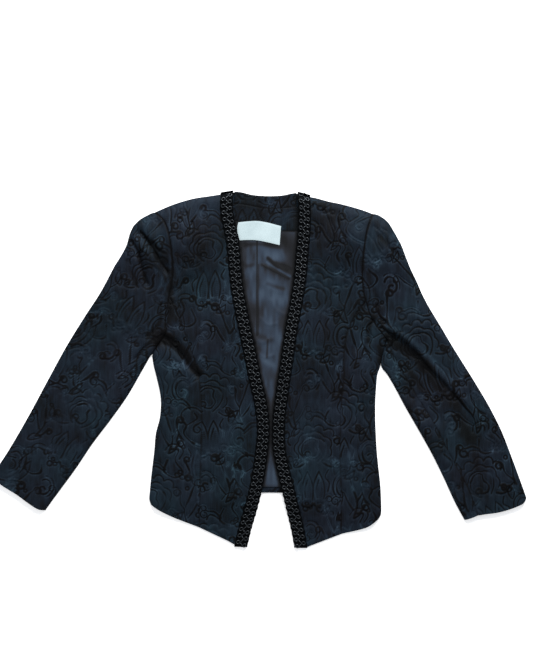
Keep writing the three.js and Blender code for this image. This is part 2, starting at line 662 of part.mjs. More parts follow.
makeBack();
makeLining();
makeNeck();
makeLabel();
for (const side of ["right", "left"]) {
  const armhole = armholeOf(side);
  makeFronts(side, armhole);
  makeSleeve(side, armhole);
}

jacket.position.set(TO_MIDDLE.x, TO_MIDDLE.y, 0);

export default jacket;
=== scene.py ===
"""A short open-front jacket in raised brocade with looped braid edges, laid flat on its back."""
import math
from functools import partial

import bpy
import numpy as np
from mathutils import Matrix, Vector


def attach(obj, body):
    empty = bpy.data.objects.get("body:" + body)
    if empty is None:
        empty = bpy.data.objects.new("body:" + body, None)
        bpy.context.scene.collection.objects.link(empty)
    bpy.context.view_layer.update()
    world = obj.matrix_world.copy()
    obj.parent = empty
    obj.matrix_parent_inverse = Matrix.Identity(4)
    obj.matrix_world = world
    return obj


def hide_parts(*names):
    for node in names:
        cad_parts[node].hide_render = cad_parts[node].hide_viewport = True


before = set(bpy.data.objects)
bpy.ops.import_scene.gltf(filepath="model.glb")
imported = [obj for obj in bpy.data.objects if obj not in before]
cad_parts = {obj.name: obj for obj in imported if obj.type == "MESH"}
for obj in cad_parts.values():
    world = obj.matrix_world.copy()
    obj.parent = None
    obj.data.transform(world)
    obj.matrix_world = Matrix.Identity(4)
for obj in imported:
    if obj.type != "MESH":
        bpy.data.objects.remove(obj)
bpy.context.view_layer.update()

MM = 0.001

# Sizes in millimetres.
CLOTH = 1.3
CLOTH_LEAST = 0.15
FLAT_CLOTH = 1.6  # the cloths that lie underneath
SEAM_GAP = 0.34
SEAM_OPEN = 0.02  # what is left open of it at each border
EDGE_BASE = 1.94  # where the upper cloth lies at its borders
EDGE_ROLL = 16  # how far in from a folded edge the cloth still rises
BODY_HEIGHT = 7
BODY_LEAST = 1.8  # what its middle keeps over its low edge
TURN_LOW, TURN_DROP, TURN_REACH = 0.8, 1.1, 4  # the under sleeve's cloth at its fold, which bends down there
SLEEVE_HEIGHT = 7.2
SLEEVE_LEAST = 3.4
ARMHOLE_BLEND = 18  # where a sleeve takes over the height of the body
# The front points, which come down to the floor between these ways past the back's hem.
TIP_HEIGHT = 1.9
TIP_START = 28
TIP_DROOP = 56
TO_MIDDLE = (2.63, 1.43)  # from the lines below to the garment's middle
LINING_TOP = 2.94
NECK_CLOTH = 1.1
FACING_TOP = EDGE_BASE + 1.5
BAND_EDGE, BAND_RISE, BAND_REACH = 0.4, 1.2, 4
LABEL_LOW = EDGE_BASE + 1.6 + SEAM_GAP
LABEL_EDGE, LABEL_CROWN, LABEL_WAVE = 0.35, 0.25, 0.1
BRAID_WIDTH = 26
BRAID_PITCH = 12.8
BRAID_OVERHANG = 1.5
BRAID_SCALLOP = 1.1
BRAID_STANDS = 3.5  # the braid stands up past the shoulder line

FINE = 1.7  # spacing of points on cloth that shows
COARSE = 4.0  # and on cloth that lies underneath

LINES = {
    "right": {
        "side": [
            [-208.5, -258], [-211.5, -248], [-210.5, -232], [-208, -205], [-202, -155], [-199, -122],
            [-192, -95], [-189.5, -69], [-190.5, -50], [-197, -19], [-203.5, 7], [-205.3, 18],
            [-205.9, 24], [-205, 29.5], [-202, 35], [-198.2, 41], [-184, 60],
        ],
        "armhole": [
            [-184, 60], [-178.5, 72], [-179.5, 86], [-179, 103], [-174, 131], [-169, 163], [-166.5, 190],
            [-168, 216], [-171.5, 243], [-176, 264], [-185, 283], [-200.5, 298],
        ],
        "shoulder": [
            [-200.5, 298], [-192, 302], [-164, 313.5], [-128, 324], [-96, 329], [-76, 332], [-51, 336],
        ],
        "princess": [
            [-117, -301.5], [-114, -190], [-112, -114], [-113, -54], [-121, 0], [-136, 47], [-155, 98],
            [-172, 138],
        ],
        "edge": [
            [-25, -339], [-17, -306], [-6, -268], [3.5, -230], [10.5, -192], [15.4, -154], [18.2, -125],
            [17.8, -98], [12.4, -59], [3.8, -21], [-7.8, 36], [-23.5, 112], [-30.5, 150], [-35, 188],
            [-38, 226], [-42, 255], [-48, 283], [-51.5, 305], [-51, 336],
        ],
        "hem": [
            [-208.5, -258], [-196, -267], [-169, -281], [-117, -301.5], [-64, -326.5], [-40, -338.5],
            [-25, -339],
        ],
        "sleeve_inner": [
            [-409.5, -269], [-396, -250], [-382, -231], [-350.5, -188], [-320, -142.5], [-285.5, -97],
            [-253, -51], [-227, -6], [-215, 15], [-210.3, 23.5], [-204.6, 29.6], [-201.6, 34.9],
            [-197.8, 40.8], [-184, 60],
        ],
        "sleeve_outer": [
            [-511.3, -202.4], [-482.8, -160.4], [-441.8, -90.4], [-402.8, -18], [-368.5, 44.5],
            [-333.5, 101.2], [-305, 145], [-277.8, 196],
        ],
        "cap_outer": [[-277.8, 196], [-264.5, 217], [-254.7, 236], [-249.2, 256], [-242.5, 271.5]],
        "cap_top": [[-242.5, 271.5], [-229, 284.5], [-212.5, 293.5], [-200.5, 298]],
        "cuff": [
            [-511.3, -202.4], [-496, -218], [-462, -240], [-443, -254], [-422, -267], [-409.5, -269],
        ],
    },
    "left": {
        "side": [
            [224, -286], [229, -277], [229.8, -262], [229.2, -243], [228, -220], [224.5, -188],
            [221.5, -158], [219.5, -125], [218.3, -90], [218.7, -57], [220.3, -33], [222.5, -10],
            [227.5, 4], [229.8, 14], [232.3, 26], [235.2, 38], [240, 55],
        ],
        "armhole": [
            [240, 55], [230, 68], [220, 80], [208.5, 101], [201.5, 122], [197, 143], [194, 168],
            [194, 201], [197, 234], [202, 262], [208, 281], [213.5, 295],
        ],
        "shoulder": [
            [213.5, 295], [193, 302.5], [154, 313.5], [130, 318.5], [106, 325], [88, 328.5], [70, 334],
        ],
        "princess": [
            [154, -314], [153, -219], [151, -169], [151.5, -118], [153, -67], [158, -19], [158, 18],
            [162, 58], [175, 93], [199, 129],
        ],
        "edge": [
            [64, -340], [57.6, -306], [48.5, -268], [39.5, -230], [30, -192], [22.6, -154], [21.2, -125],
            [22.3, -90], [26.2, -59], [31.2, -21], [37.2, 17], [45, 74], [52, 112], [60, 158],
            [63.5, 188], [65.6, 217], [68.6, 248], [71, 292], [70, 334],
        ],
        "hem": [[224, -286], [203, -301], [154, -314], [99, -335], [84, -340.5], [64, -340]],
        "sleeve_inner": [
            [388.5, -287.5], [371.5, -256.5], [350.5, -211], [328, -165], [303, -120], [276.5, -74],
            [252, -28.5], [240, -9], [233, -1], [229.6, 6], [229.5, 14], [232, 26], [234.9, 38],
            [240, 55],
        ],
        "sleeve_outer": [
            [506, -245], [493.7, -210.5], [476.7, -164.5], [459.2, -119.5], [436.2, -73.5], [409.5, -28],
            [381, 17.5], [360, 51.5], [346.6, 74.5], [332.6, 97.5], [318.6, 120.8],
        ],
        "cap_outer": [
            [318.6, 120.8], [307.2, 143.2], [297.3, 166], [286.3, 189], [277, 212], [268.5, 234.5],
            [256, 258],
        ],
        "cap_top": [[256, 258], [242, 279.8], [227, 291], [213.5, 295]],
        "cuff": [[506, -245], [500.5, -254.5], [488, -261.5], [456, -272], [426, -276.5], [413, -278.5]],
        "cuff_turn": [[388.5, -287.5], [401, -283.5], [413, -278.5]],
        "sleeve_seam": [
            [413, -278.5], [396, -230], [356, -155], [326, -97], [298, -53], [270, -5], [252, 29],
            [240, 55],
        ],
    },
}
BACK_HEM = [
    [-208.5, -258], [-120, -246], [-40, -237], [12, -235.5], [70, -238], [150, -255], [224, -286],
]
NECK_SEAM = [[-49.4, 314], [-30, 312.5], [-10, 309], [9, 306], [29, 305.5], [48, 306.5], [68.6, 308.5]]
NECK_TOP = [
    [-49, 337.5], [-38, 336.5], [-17, 331.5], [4, 329.3], [23, 329], [42, 330.3], [58, 333.5],
    [67.6, 335],
]
FACING_SEAM = [[-78, 285], [-43, 281], [0, 274], [28, 265], [44, 262.8], [62, 262.5], [94, 262]]
FACING_SIDES = [
    [[-78, 285], [-76, 298], [-64, 308], [-49.4, 314]],
    [[94, 262], [97, 282], [87, 299], [68.6, 308.5]],
]
LINING_SIDES = [
    [[-88, -226], [-86, -60], [-83, 120], [-78, 285]],
    [[112, -229], [104, -60], [98, 120], [94, 262]],
]
LINING_HEM = [[-88, -226], [-20, -224.5], [12, -224], [50, -224.5], [112, -229]]
LABEL_TOP = [[-42.2, 278.8], [-20, 281], [-7, 281.4], [10, 279], [39, 271.7]]
LABEL_FOOT = [[-39.4, 244.7], [-23, 245.4], [-7, 244.7], [12, 241.2], [36.3, 235.6]]
LABEL_SIDES = [[[-39.4, 244.7], [-43, 256], [-44.3, 267], [-42.2, 278.8]], [[36.3, 235.6], [39, 271.7]]]

# Swells: middle, reach across and along, extra height.
BODY_SWELLS = [
    (-150, 245, 62, 62, 13),
    (180, 245, 62, 62, 14),
    (-95, 60, 70, 85, 4.5),
    (125, 55, 66, 90, 4.5),
    (-60, 318, 42, 40, 3),
    (84, 315, 42, 40, 3),
]
SLEEVE_SWELLS = {
    "right": [(-215, 235, 50, 58, 14), (-250, 110, 55, 70, 3), (-430, -190, 70, 70, -1)],
    "left": [(235, 230, 50, 70, 14), (290, 95, 50, 60, 5), (450, -230, 70, 70, -1)],
}
# Folds: points, half width and depth.
BODY_FOLDS = [
    ([(-190, 54), (-160, 36), (-118, -11)], 11, 3),
    ([(-166, 146), (-150, 158), (-128, 172)], 8, 2),
    ([(200, 118), (186, 84), (182, 40)], 10, 2.5),
]
SLEEVE_FOLDS = {
    "right": [
        ([(-231, 258), (-204, 228), (-174, 185)], 8, 6),
        ([(-247, 246), (-230, 213), (-214, 160)], 8, 4),
    ],
    "left": [([(246, 50), (262, 34), (296, 4)], 10, 3)],
}
LEFT_RIDGE = [
    (223, 84), (244, 70), (265, 58), (297, 30.5), (324, -2), (354, -32), (394, -78), (411, -120),
    (425, -173),
]
LEFT_RIDGE_DROP = 7
LEFT_RIDGE_HALF = 7
LEFT_RIDGE_CREST = 2.0
CREST_OFF, CREST_HALF = 5, 8  # the crest's middle and half width, out from the ridge
RIDGE_REACH = (40, 90)  # the drop ends between these ways from it
RIDGE_FADE = 0.45  # the share of its length from which the ridge fades
# Shade in the hollows (-) and sheen on the crests of the largest folds: points, half width and tone.
FOLD_TONES = [
    ([(242, 63), (262, 43), (286, 31), (314, 3)], 9, -1.0),
    ([(314, 3), (345, -36), (369, -68), (396, -130)], 12, -0.55),
    ([(396, -130), (412, -190), (424, -240)], 12, -0.2),
    ([(236, 96), (262, 76), (296, 48), (330, 14)], 6, 0.4),
    ([(330, 14), (362, -20), (396, -62)], 7, 0.25),
    ([(-197, 52), (-186, 62), (-172, 60)], 9, -1.3),
    ([(-174, 56), (-152, 42), (-131, 16), (-116, -6)], 6, -0.8),
    ([(-187, 13), (-170, -6), (-156, -20)], 6, 0.35),
    ([(226, 42), (228, 30), (229, 16)], 7, -0.9),
    ([(214, 100), (206, 76), (204, 48)], 7, -0.35),
    ([(-176, 184), (-170, 140), (-174, 100), (-182, 72)], 5, -0.5),
    ([(-128, 268), (-116, 240), (-104, 212)], 26, -0.28),
    ([(120, 282), (136, 250), (140, 210)], 26, -0.3),
]
# Sharp creases over those folds, with the columns of the folds.
BODY_CREASES = [
    ([(-195, 55), (-172, 46), (-153, 27), (-134, 2), (-119, -13)], 5, 3),
    ([(-190, 66), (-176, 58), (-160, 50)], 4, 2.5),
    ([(214, 92), (206, 74), (204, 50)], 4, 2),
]
SLEEVE_CREASES = {
    "right": [
        ([(-225, 258), (-204, 228), (-189, 199), (-176, 184)], 3, 3),
        ([(-244, 241), (-233, 224), (-225, 188), (-216, 163)], 3, 2.5),
        ([(-205, 240), (-192, 224), (-180, 218)], 3, 2),
        ([(-252, 205), (-246, 182), (-238, 158)], 5, 1.5),
        ([(-214, 62), (-200, 74), (-190, 92)], 5, 2.5),
        ([(-236, 20), (-214, 44), (-200, 60)], 5, 2),
    ],
    "left": [
        ([(222, 120), (226, 100), (238, 84)], 4, 2.5),
        ([(206, 180), (214, 150), (228, 122)], 5, 1.5),
        ([(262, 20), (300, -26), (336, -80)], 6, 1.6),
        ([(225, 250), (240, 236), (262, 214)], 6, 1.4),
    ],
}
LINING_WRINKLES = [
    ([(14, 211), (36, 192), (58, 179)], 5, 0.9),
    ([(8, 160), (26, 150), (46, 146)], 6, 0.7),
    ([(-26, 200), (-20, 150), (-16, 90)], 6, 0.5),
    ([(5, 196), (24, 187), (50, 172)], 3, 1.0),
    ([(-34, 232), (-28, 205), (-30, 180)], 3, 0.7),
    ([(34, 232), (46, 205), (50, 190)], 3, 0.7),
    ([(20, 130), (30, 112), (44, 104)], 4, 0.9),
    ([(-14, 60), (2, 50), (22, 58)], 4, 1.0),
    ([(-4, 30), (8, 22), (24, 26)], 3, 0.9),
    ([(0, 96), (14, 84), (30, 86)], 3, 0.7),
]
# Painted shade (-) and painted highlights (+) on the lining, along its wrinkles, under the label and along
# its hem: points, half width and how much darker or lighter it turns.
LINING_PAINTED_LIGHT = [
    ([(-30, 236), (0, 238), (36, 232)], 4, -0.45),
    ([(14, 211), (30, 198), (60, 186)], 3, -0.8),
    ([(30, 200), (44, 196), (62, 184)], 5, -0.5),
    ([(3, 198), (20, 190), (54, 172)], 2.5, -0.55),
    ([(12, 203), (32, 190), (56, 176)], 2, 0.4),
    ([(14, 162), (30, 156), (44, 152)], 4, -0.35),
    ([(-8, 64), (6, 60), (18, 56)], 7, -0.3),
    ([(14, 55), (13, 38), (12, 22)], 2, -0.5),
    ([(-2, 24), (8, 16), (20, 8)], 6, 0.3),
    ([(22, 140), (20, 110), (16, 80)], 8, 0.12),
    ([(-60, -224), (12, -223), (80, -225)], 3, -0.2),
    ([(-36, 236), (-30, 160), (-14, 60)], 12, -0.22),
    ([(40, 250), (56, 226), (62, 196)], 12, -0.35),
    ([(-38, 206), (-28, 196), (-14, 198)], 4, -0.3),
]
PLEAT_LINES = [
    ([(-6.6, 243), (-6.6, 150), (-6.6, 64)], 0.9, -0.9),
    ([(-3.5, 199), (-3.6, 150), (-4, 66)], 0.9, -0.4),
]
PLEAT_X, PLEAT_TOP, PLEAT_HALF, PLEAT_RISE = -6.5, 236, 5, 1.1


# Curves in plan


def spline(rows, per=30):
    """The centripetal curve through the rows, as a dense line of points."""
    p = np.array(rows, float)
    p = np.vstack([2 * p[0] - p[1], p, 2 * p[-1] - p[-2]])
    out = []
    for i in range(1, len(p) - 2):
        p0, p1, p2, p3 = p[i - 1 : i + 3]
        d0, d1, d2 = (np.sqrt(np.linalg.norm(b - a)) for a, b in ((p0, p1), (p1, p2), (p2, p3)))
        t1 = ((p1 - p0) / d0 - (p2 - p0) / (d0 + d1) + (p2 - p1) / d1) * d1
        t2 = ((p2 - p1) / d1 - (p3 - p1) / (d1 + d2) + (p3 - p2) / d2) * d1
        c2 = -3 * p1 + 3 * p2 - 2 * t1 - t2
        c3 = 2 * p1 - 2 * p2 + t1 + t2
        t = np.linspace(0, 1, per, endpoint=False)[:, None]
        out.append(p1 + t1 * t + c2 * t**2 + c3 * t**3)
    return np.vstack(out + [p[-2][None]])


def shares_of(points):
    steps = np.concatenate([[0], np.cumsum(np.linalg.norm(np.diff(points, axis=0), axis=1))])
    return steps / steps[-1] if steps[-1] > 1e-9 else np.linspace(0, 1, len(points))


def resampled(line, count):
    """The line with this many points, evenly along it."""
    along = shares_of(line)
    shares = np.linspace(0, 1, count)
    return np.stack([np.interp(shares, along, line[:, k]) for k in (0, 1)], axis=1)


def even(rows, count):
    """The curve through the rows, or the line between two, with this many points."""
    return resampled(spline(rows) if len(rows) > 2 else np.array(rows, float), count)


def length_of(line):
    return float(np.linalg.norm(np.diff(line, axis=0), axis=1).sum())


def joined(*lines):
    """The lines end to end, with each shared point once."""
    return np.vstack([lines[0], *(line[1:] for line in lines[1:])])


def from_segment(a, b, x, y):
    """The share of the segment at which it is nearest to each place, and the distance there."""
    d = b - a
    t = np.clip(((x - a[0]) * d[0] + (y - a[1]) * d[1]) / max(d @ d, 1e-9), 0, 1)
    return t, np.hypot(x - a[0] - t * d[0], y - a[1] - t * d[1])


def distance_to(line, x, y):
    best = np.full(np.shape(x), 1e9)
    for a, b in zip(line[:-1], line[1:]):
        best = np.minimum(best, from_segment(a, b, x, y)[1])
    return best


def smooth(low, high, value):
    t = np.clip((value - low) / (high - low), 0, 1)
    return t * t * (3 - 2 * t)


def bell(value, half):
    return np.exp(-((value / half) ** 2))


# Height of the laid cloth

# Lines of each side as close points.
DENSE = {
    side: {
        "side": even(rows["side"], 60),
        "shoulder": even(rows["shoulder"], 40),
        "armhole": even(rows["armhole"], 40),
        "inner": even(rows["sleeve_inner"], 60),
        "outer": np.vstack([even(rows["sleeve_outer"], 50), even(rows["cap_outer"], 30)]),
        "cap_top": even(rows["cap_top"], 20),
        "edge": even(rows["edge"], 60),
    }
    for side, rows in LINES.items()
}
HEM_LINE = even(BACK_HEM, 60)


def roll_over(distance, reach=EDGE_ROLL):
    """From 0 at an edge to 1 at its reach, round like the fold of a thick cloth."""
    return np.sqrt(1 - (1 - np.minimum(distance / reach, 1)) ** 2)


def swells(items, x, y):
    """The summed height of round hills."""
    return sum(r * np.exp(-(((x - a) / w) ** 2) - ((y - b) / h) ** 2) for a, b, w, h, r in items)


def folds(items, x, y):
    """The summed depth, or tone, of soft lines."""
    return sum(d * bell(distance_to(even(p, 12), x, y), half) for p, half, d in items)


def past_hem(x, y):
    """How far below the back's hem a place is."""
    return np.interp(x, HEM_LINE[:, 0], HEM_LINE[:, 1]) - y


def body_low(x, y):
    """The underside of the fronts, which come down to the floor past the back's hem."""
    return EDGE_BASE * (1 - smooth(TIP_START, TIP_DROOP, past_hem(x, y)))


def body_top(x, y, side):
    """The height of the fronts."""
    height = BODY_HEIGHT + swells(BODY_SWELLS, x, y) - folds(BODY_FOLDS, x, y) - folds(BODY_CREASES, x, y)
    height = height + (TIP_HEIGHT - height) * smooth(0, TIP_DROOP, past_hem(x, y))
    roll = roll_over(distance_to(DENSE[side]["side"], x, y))
    roll = roll * roll_over(distance_to(DENSE[side]["shoulder"], x, y))
    low = body_low(x, y)
    return low + (np.maximum(height, low + BODY_LEAST) - low) * roll


def ridge_drop(x, y):
    """Lower on the body's side of the left sleeve's long fold, with a crest on its other side."""
    line = even(LEFT_RIDGE, 40)
    best = np.full(np.shape(x), 1e9)
    side = np.zeros(np.shape(x))
    share = np.zeros(np.shape(x))
    for i, (a, b) in enumerate(zip(line[:-1], line[1:])):
        d = b - a
        t, off = from_segment(a, b, x, y)
        near = off < best
        best = np.where(near, off, best)
        side = np.where(near, (d[0] * (y - a[1]) - d[1] * (x - a[0])) / np.hypot(*d), side)
        share = np.where(near, (i + t) / (len(line) - 1), share)
    fade = 1 - smooth(RIDGE_FADE, 1, share)
    across = 1 - smooth(-LEFT_RIDGE_HALF, LEFT_RIDGE_HALF, side)
    crest = LEFT_RIDGE_CREST * bell(best - CREST_OFF, CREST_HALF) * (side > 0)
    return fade * (LEFT_RIDGE_DROP * across * (1 - smooth(*RIDGE_REACH, best)) - crest)


def sleeve_top(x, y, side):
    """The height of a sleeve, which starts from that of the body at the armhole."""
    lines = DENSE[side]
    height = SLEEVE_HEIGHT + swells(SLEEVE_SWELLS[side], x, y)
    height = height - folds(SLEEVE_FOLDS[side], x, y) - folds(SLEEVE_CREASES[side], x, y)
    if side == "left":
        height = height - ridge_drop(x, y)
    roll = 1
    for name in ("outer", "inner"):
        roll = roll * roll_over(distance_to(lines[name], x, y))
    own = EDGE_BASE + (np.maximum(height, SLEEVE_LEAST) - EDGE_BASE) * roll
    t = smooth(0, ARMHOLE_BLEND, distance_to(lines["armhole"], x, y))
    mixed = body_top(x, y, side) * (1 - t) + own * t
    return EDGE_BASE + (mixed - EDGE_BASE) * (1 - t + t * roll_over(distance_to(lines["cap_top"], x, y)))


def lining_top(x, y):
    height = LINING_TOP + folds(LINING_WRINKLES, x, y)
    return height + PLEAT_RISE * bell(x - PLEAT_X, PLEAT_HALF) * smooth(0, 40, PLEAT_TOP - y)


# The raised pattern: one repeat, drawn as strokes in millimetres and kept as small fields


REPEAT_W, REPEAT_H = 190.0, 286.0
CELL = 0.76
CELLS = (round(REPEAT_H / CELL), round(REPEAT_W / CELL))
RIBBON_HALF = (0.7, 2.1)  # a ribbon stroke is raised; its half width varies between these


def arc(cx, cy, r, start, end, squash=1.0, steps=22):
    a = np.radians(np.linspace(start, end, steps))
    return np.stack([cx + r * np.cos(a), cy + r * squash * np.sin(a)], axis=1)


def volute(cx, cy, r, start, turns):
    a = np.radians(np.linspace(start, start + 300 * turns, 26))
    rr = np.linspace(r * 1.12, r * 0.5, 26)
    return np.stack([cx + rr * np.cos(a), cy + rr * np.sin(a)], axis=1)


def curve(*points):
    return even([list(p) for p in points], 26)


def hook(cx, cy, r, start, turns, *stem):
    """A stem that ends in a volute."""
    end = volute(cx, cy, r, start, turns)
    return np.vstack([even([list(p) for p in stem] + [list(end[0])], 14)[:-1], end])


def lobed(cx, cy, r, lobes, depth, start, end, squash=1.0):
    a = np.radians(np.linspace(start, end, 60))
    rr = r * (1 + depth * np.abs(np.sin(lobes * a / 2)) - depth / 2)
    return np.stack([cx + rr * np.cos(a), cy + rr * squash * np.sin(a)], axis=1)


def hatch(cx, cy, w, h, count, slope=0.0):
    """Short lines one above the other across a box."""
    ys = np.linspace(cy - h / 2, cy + h / 2, count)
    return [np.array([[cx - w / 2, y - slope], [cx + w / 2, y + slope]]) for y in ys]


def leaf(base, tip, width, bend=0.0):
    """Two sides and the rib of a pointed leaf."""
    base, tip = np.array(base, float), np.array(tip, float)
    along = tip - base
    side = np.array([-along[1], along[0]]) / np.linalg.norm(along)
    t = np.linspace(0, 1, 18)[:, None]
    mid = base + along * t + side * bend * np.sin(np.pi * t)
    half = side * width / 2 * np.sin(np.pi * t**0.8)
    return mid + half, mid - half, mid


class Strokes:
    """The strokes of one repeat: raised ribbons, sunk lines, fine veins and satin shapes."""

    def __init__(self):
        self.ribbons, self.lines, self.fine, self.fills = [], [], [], []
        self.place(0, 0)

    def place(self, x, y, flip=1, size=1.0):
        self.at = (x, y, flip, size)

    def moved(self, line):
        x, y, flip, size = self.at
        return line * np.array([flip * size, size]) + np.array([x, y])

    def ribbon(self, line):
        self.ribbons.append(self.moved(line))

    def line(self, *lines):
        self.lines.extend(map(self.moved, lines))

    def vein(self, *lines):
        self.fine.extend(map(self.moved, lines))

    def fill(self, line):
        self.fills.append(self.moved(line))

    def leaf(self, base, tip, width, bend=0.0, veins=0):
        up, down, rib = leaf(base, tip, width, bend)
        self.line(up, down)
        self.fill(np.vstack([up, down[::-1]]))
        for k in range(3, 3 + 2 * veins, 2):
            self.vein(np.array([up[k], rib[k] + (rib[k] - rib[k + 1]) * 0.6, down[k]]))


def bloom_round(s):
    """A round bloom with a curled line inside and a crown of lobes."""
    s.line(lobed(0, 0, 34, 7, 0.14, -40, 218, 0.92))
    s.line(lobed(-1, -2, 26, 5, 0.12, 20, 250, 0.92))
    s.ribbon(hook(-11, -12, 6, 300, 1.3, (-17, 10), (-6, 19), (8, 15), (6, 3), (12, -8), (4, -20)))
    s.line(curve((17, 17), (25, 4), (20, -14), (9, -27)))
    s.line(curve((-19, 8), (-22, -6), (-15, -20)))
    for k in range(6):
        a = 22 + 27 * k
        x, y = 43 * math.cos(math.radians(a)), 38 * math.sin(math.radians(a))
        s.line(arc(x, y, 9.5, a - 88, a + 88, steps=12))
    s.ribbon(hook(-33, -27, 6, 60, 1.2, (-18, -29), (-27, -34), (-38, -34)))
    s.ribbon(hook(36, -25, 6, 120, -1.2, (20, -28), (30, -34), (41, -33)))
    s.vein(*hatch(-13, -4, 10, 18, 6))


def bloom_heart(s):
    """A heart-shaped bloom with a double curl down one half."""
    s.ribbon(curve((0, 24), (-12, 34), (-30, 29), (-38, 8), (-34, -14), (-19, -33), (2, -38)))
    s.ribbon(curve((0, 24), (10, 33), (27, 35), (39, 25), (38, 12), (29, 2), (35, -12), (22, -28), (2, -38)))
    s.line(curve((-3, 16), (-13, 24), (-25, 20), (-29, 6), (-26, -10), (-15, -24)))
    s.ribbon(hook(8, -6, 8, 80, -1.1, (-16, 12), (-5, 9)))
    s.line(curve((14, 24), (9, 14), (19, 7), (28, 2)))
    s.line(arc(-12, -4, 10, 90, 262))
    s.line(curve((46, 22), (50, 4), (44, -14), (34, -28)))
    s.line(curve((-46, 18), (-49, -2), (-43, -20), (-30, -36)))
    s.vein(*hatch(-18, -8, 12, 22, 7, 1.5))


def arches(s):
    """Two pointed leaves side by side, hatched across, over a scrolled foot."""
    for x in (-11, 11):
        s.line(curve((x - 10, -24), (x - 11, -4), (x - 7, 14), (x, 28)))
        s.line(curve((x, 28), (x + 7, 14), (x + 11, -4), (x + 9, -24)))
        s.line(curve((x - 4, -20), (x - 5, -4), (x, 13)))
        sides = curve((x - 9, -24), (x - 10, 0), (x, 27)), curve((x, 27), (x + 10, 0), (x + 8, -24))
        s.fill(np.vstack(sides))
        s.vein(*hatch(x + 2, -6, 9, 26, 8, 0.8))
    s.ribbon(hook(-30, -24, 6, 20, 1.3, (2, -30), (-10, -37), (-22, -34)))
    s.ribbon(hook(30, -24, 6, 160, -1.3, (-2, -30), (10, -37), (22, -34)))
    s.line(curve((-28, -10), (-31, 6), (-22, 18), (-27, 30)))
    s.line(curve((28, -10), (31, 6), (23, 18), (29, 31)))


def vine(s):
    """A branching stem whose ends curl."""
    s.ribbon(hook(18, 34, 7, 200, -1.4, (0, -42), (-6, -16), (2, 8), (7, 24)))
    s.ribbon(hook(-20, 16, 6.5, -40, 1.4, (-5, -14), (-14, 0)))
    s.ribbon(hook(22, -4, 6, 180, -1.3, (0, -28), (9, -16)))
    s.ribbon(hook(-20, -25, 5.5, 60, 1.2, (0, -42), (-9, -37)))
    s.line(arc(-3, 24, 3.2, 0, 360, steps=14))


def double_curl(s):
    """An open curl of two bows, with a hook beside it."""
    s.ribbon(curve((-4, 28), (13, 27), (6, 6), (19, -19), (4, -30), (-17, -19), (-9, 6)))
    s.line(curve((-14, 24), (-4, 36), (14, 35), (22, 24), (14, 8)))
    s.ribbon(hook(30, 8, 6, 200, -1.2, (26, -28), (33, -18), (30, -6)))


def bow(s):
    """A bow that closes on itself."""
    s.ribbon(np.vstack([arc(0, 0, 13, 40, 290, 1.35), arc(2, -7, 6, -60, 150)]))
    s.line(arc(0, 0, 20, 70, 230, 1.25))


def scroll(s):
    """A short stem that ends in a curl."""
    s.ribbon(np.vstack([curve((-24, -4), (-12, 8), (2, 9)), volute(8, 2, 8, 110, -1.3)]))
    s.line(curve((-26, -12), (-12, -1), (-2, 1), (4, -8)))


def berries(s):
    """Three small rounds together."""
    for x, y, r in ((0, 0, 4.6), (9.5, 4, 3.6), (3, 10, 3.2)):
        s.line(arc(x, y, r, 0, 360, steps=16))


def all_strokes():
    s = Strokes()
    for motif, x, y, flip, size in (
        (bloom_round, 46, 96, 1, 1.0),
        (bloom_heart, 141, 238, -1, 1.0),
        (arches, 46, 24, 1, 1.0),
        (arches, 143, 164, 1, 1.05),
        (vine, 112, 92, 1, 1.1),
        (vine, 78, 232, -1, 1.1),
        (vine, 172, 60, -1, 1.0),
        (vine, 14, 176, 1, 1.0),
        (double_curl, 84, 168, 1, 0.95),
        (double_curl, 6, 262, -1, 0.9),
        (bow, 104, 22, 1, 1.0),
        (bow, 40, 224, -1, 0.85),
        (bow, 138, 112, -1, 0.8),
        (scroll, 140, 40, 1, 1.0),
        (scroll, 46, 158, -1, 1.0),
        (scroll, 182, 204, 1, 0.9),
        (scroll, 96, 280, -1, 0.9),
        (scroll, 176, 120, 1, 0.9),
        (berries, 132, 66, 1, 1.0),
        (berries, 100, 140, -1, 1.0),
        (berries, 30, 268, 1, 1.0),
        (berries, 182, 158, 1, 1.0),
    ):
        s.place(x, y, flip, size)
        motif(s)
    s.place(0, 0)
    for base, tip, width, bend in (
        ((88, 44), (104, 72), 12, 4),
        ((4, 120), (18, 148), 12, -4),
        ((108, 196), (96, 222), 11, 4),
        ((160, 6), (184, 20), 11, 3),
        ((60, 258), (78, 274), 10, -3),
        ((4, 58), (-12, 84), 11, 4),
        ((168, 262), (184, 284), 12, 3),
    ):
        s.leaf(base, tip, width, bend, veins=4)
    return s


def window(line, reach):
    """The cells round a line: their rows and columns in the repeat, and their places."""
    low = np.floor((line.min(0) - reach) / CELL).astype(int)
    high = np.ceil((line.max(0) + reach) / CELL).astype(int)
    ix, iy = np.arange(low[0], high[0] + 1), np.arange(low[1], high[1] + 1)
    rows, cols = np.meshgrid(iy % CELLS[0], ix % CELLS[1], indexing="ij")
    return (rows, cols), *np.meshgrid(ix * CELL, iy * CELL)


def field_of(lines, reach):
    """Distance to the nearest stroke over one repeat, which wraps round at its borders."""
    field = np.full(CELLS, 99.0)
    for line in lines:
        for pair in zip(line[:-1], line[1:]):
            segment = np.array(pair)
            cells, x, y = window(segment, reach)
            field[cells] = np.minimum(field[cells], distance_to(segment, x, y))
    return field


def filled(shapes):
    """1 inside any of the shapes, over one repeat."""
    mask = np.zeros(CELLS)
    for loop in shapes:
        cells, x, y = window(loop, 0)
        inside = np.zeros(x.shape, bool)
        for (ax, ay), (bx, by) in zip(loop, np.roll(loop, -1, axis=0)):
            if ay != by:
                inside ^= ((ay > y) != (by > y)) & (x < (bx - ax) * (y - ay) / (by - ay) + ax)
        mask[cells] = np.maximum(mask[cells], inside)
    return mask


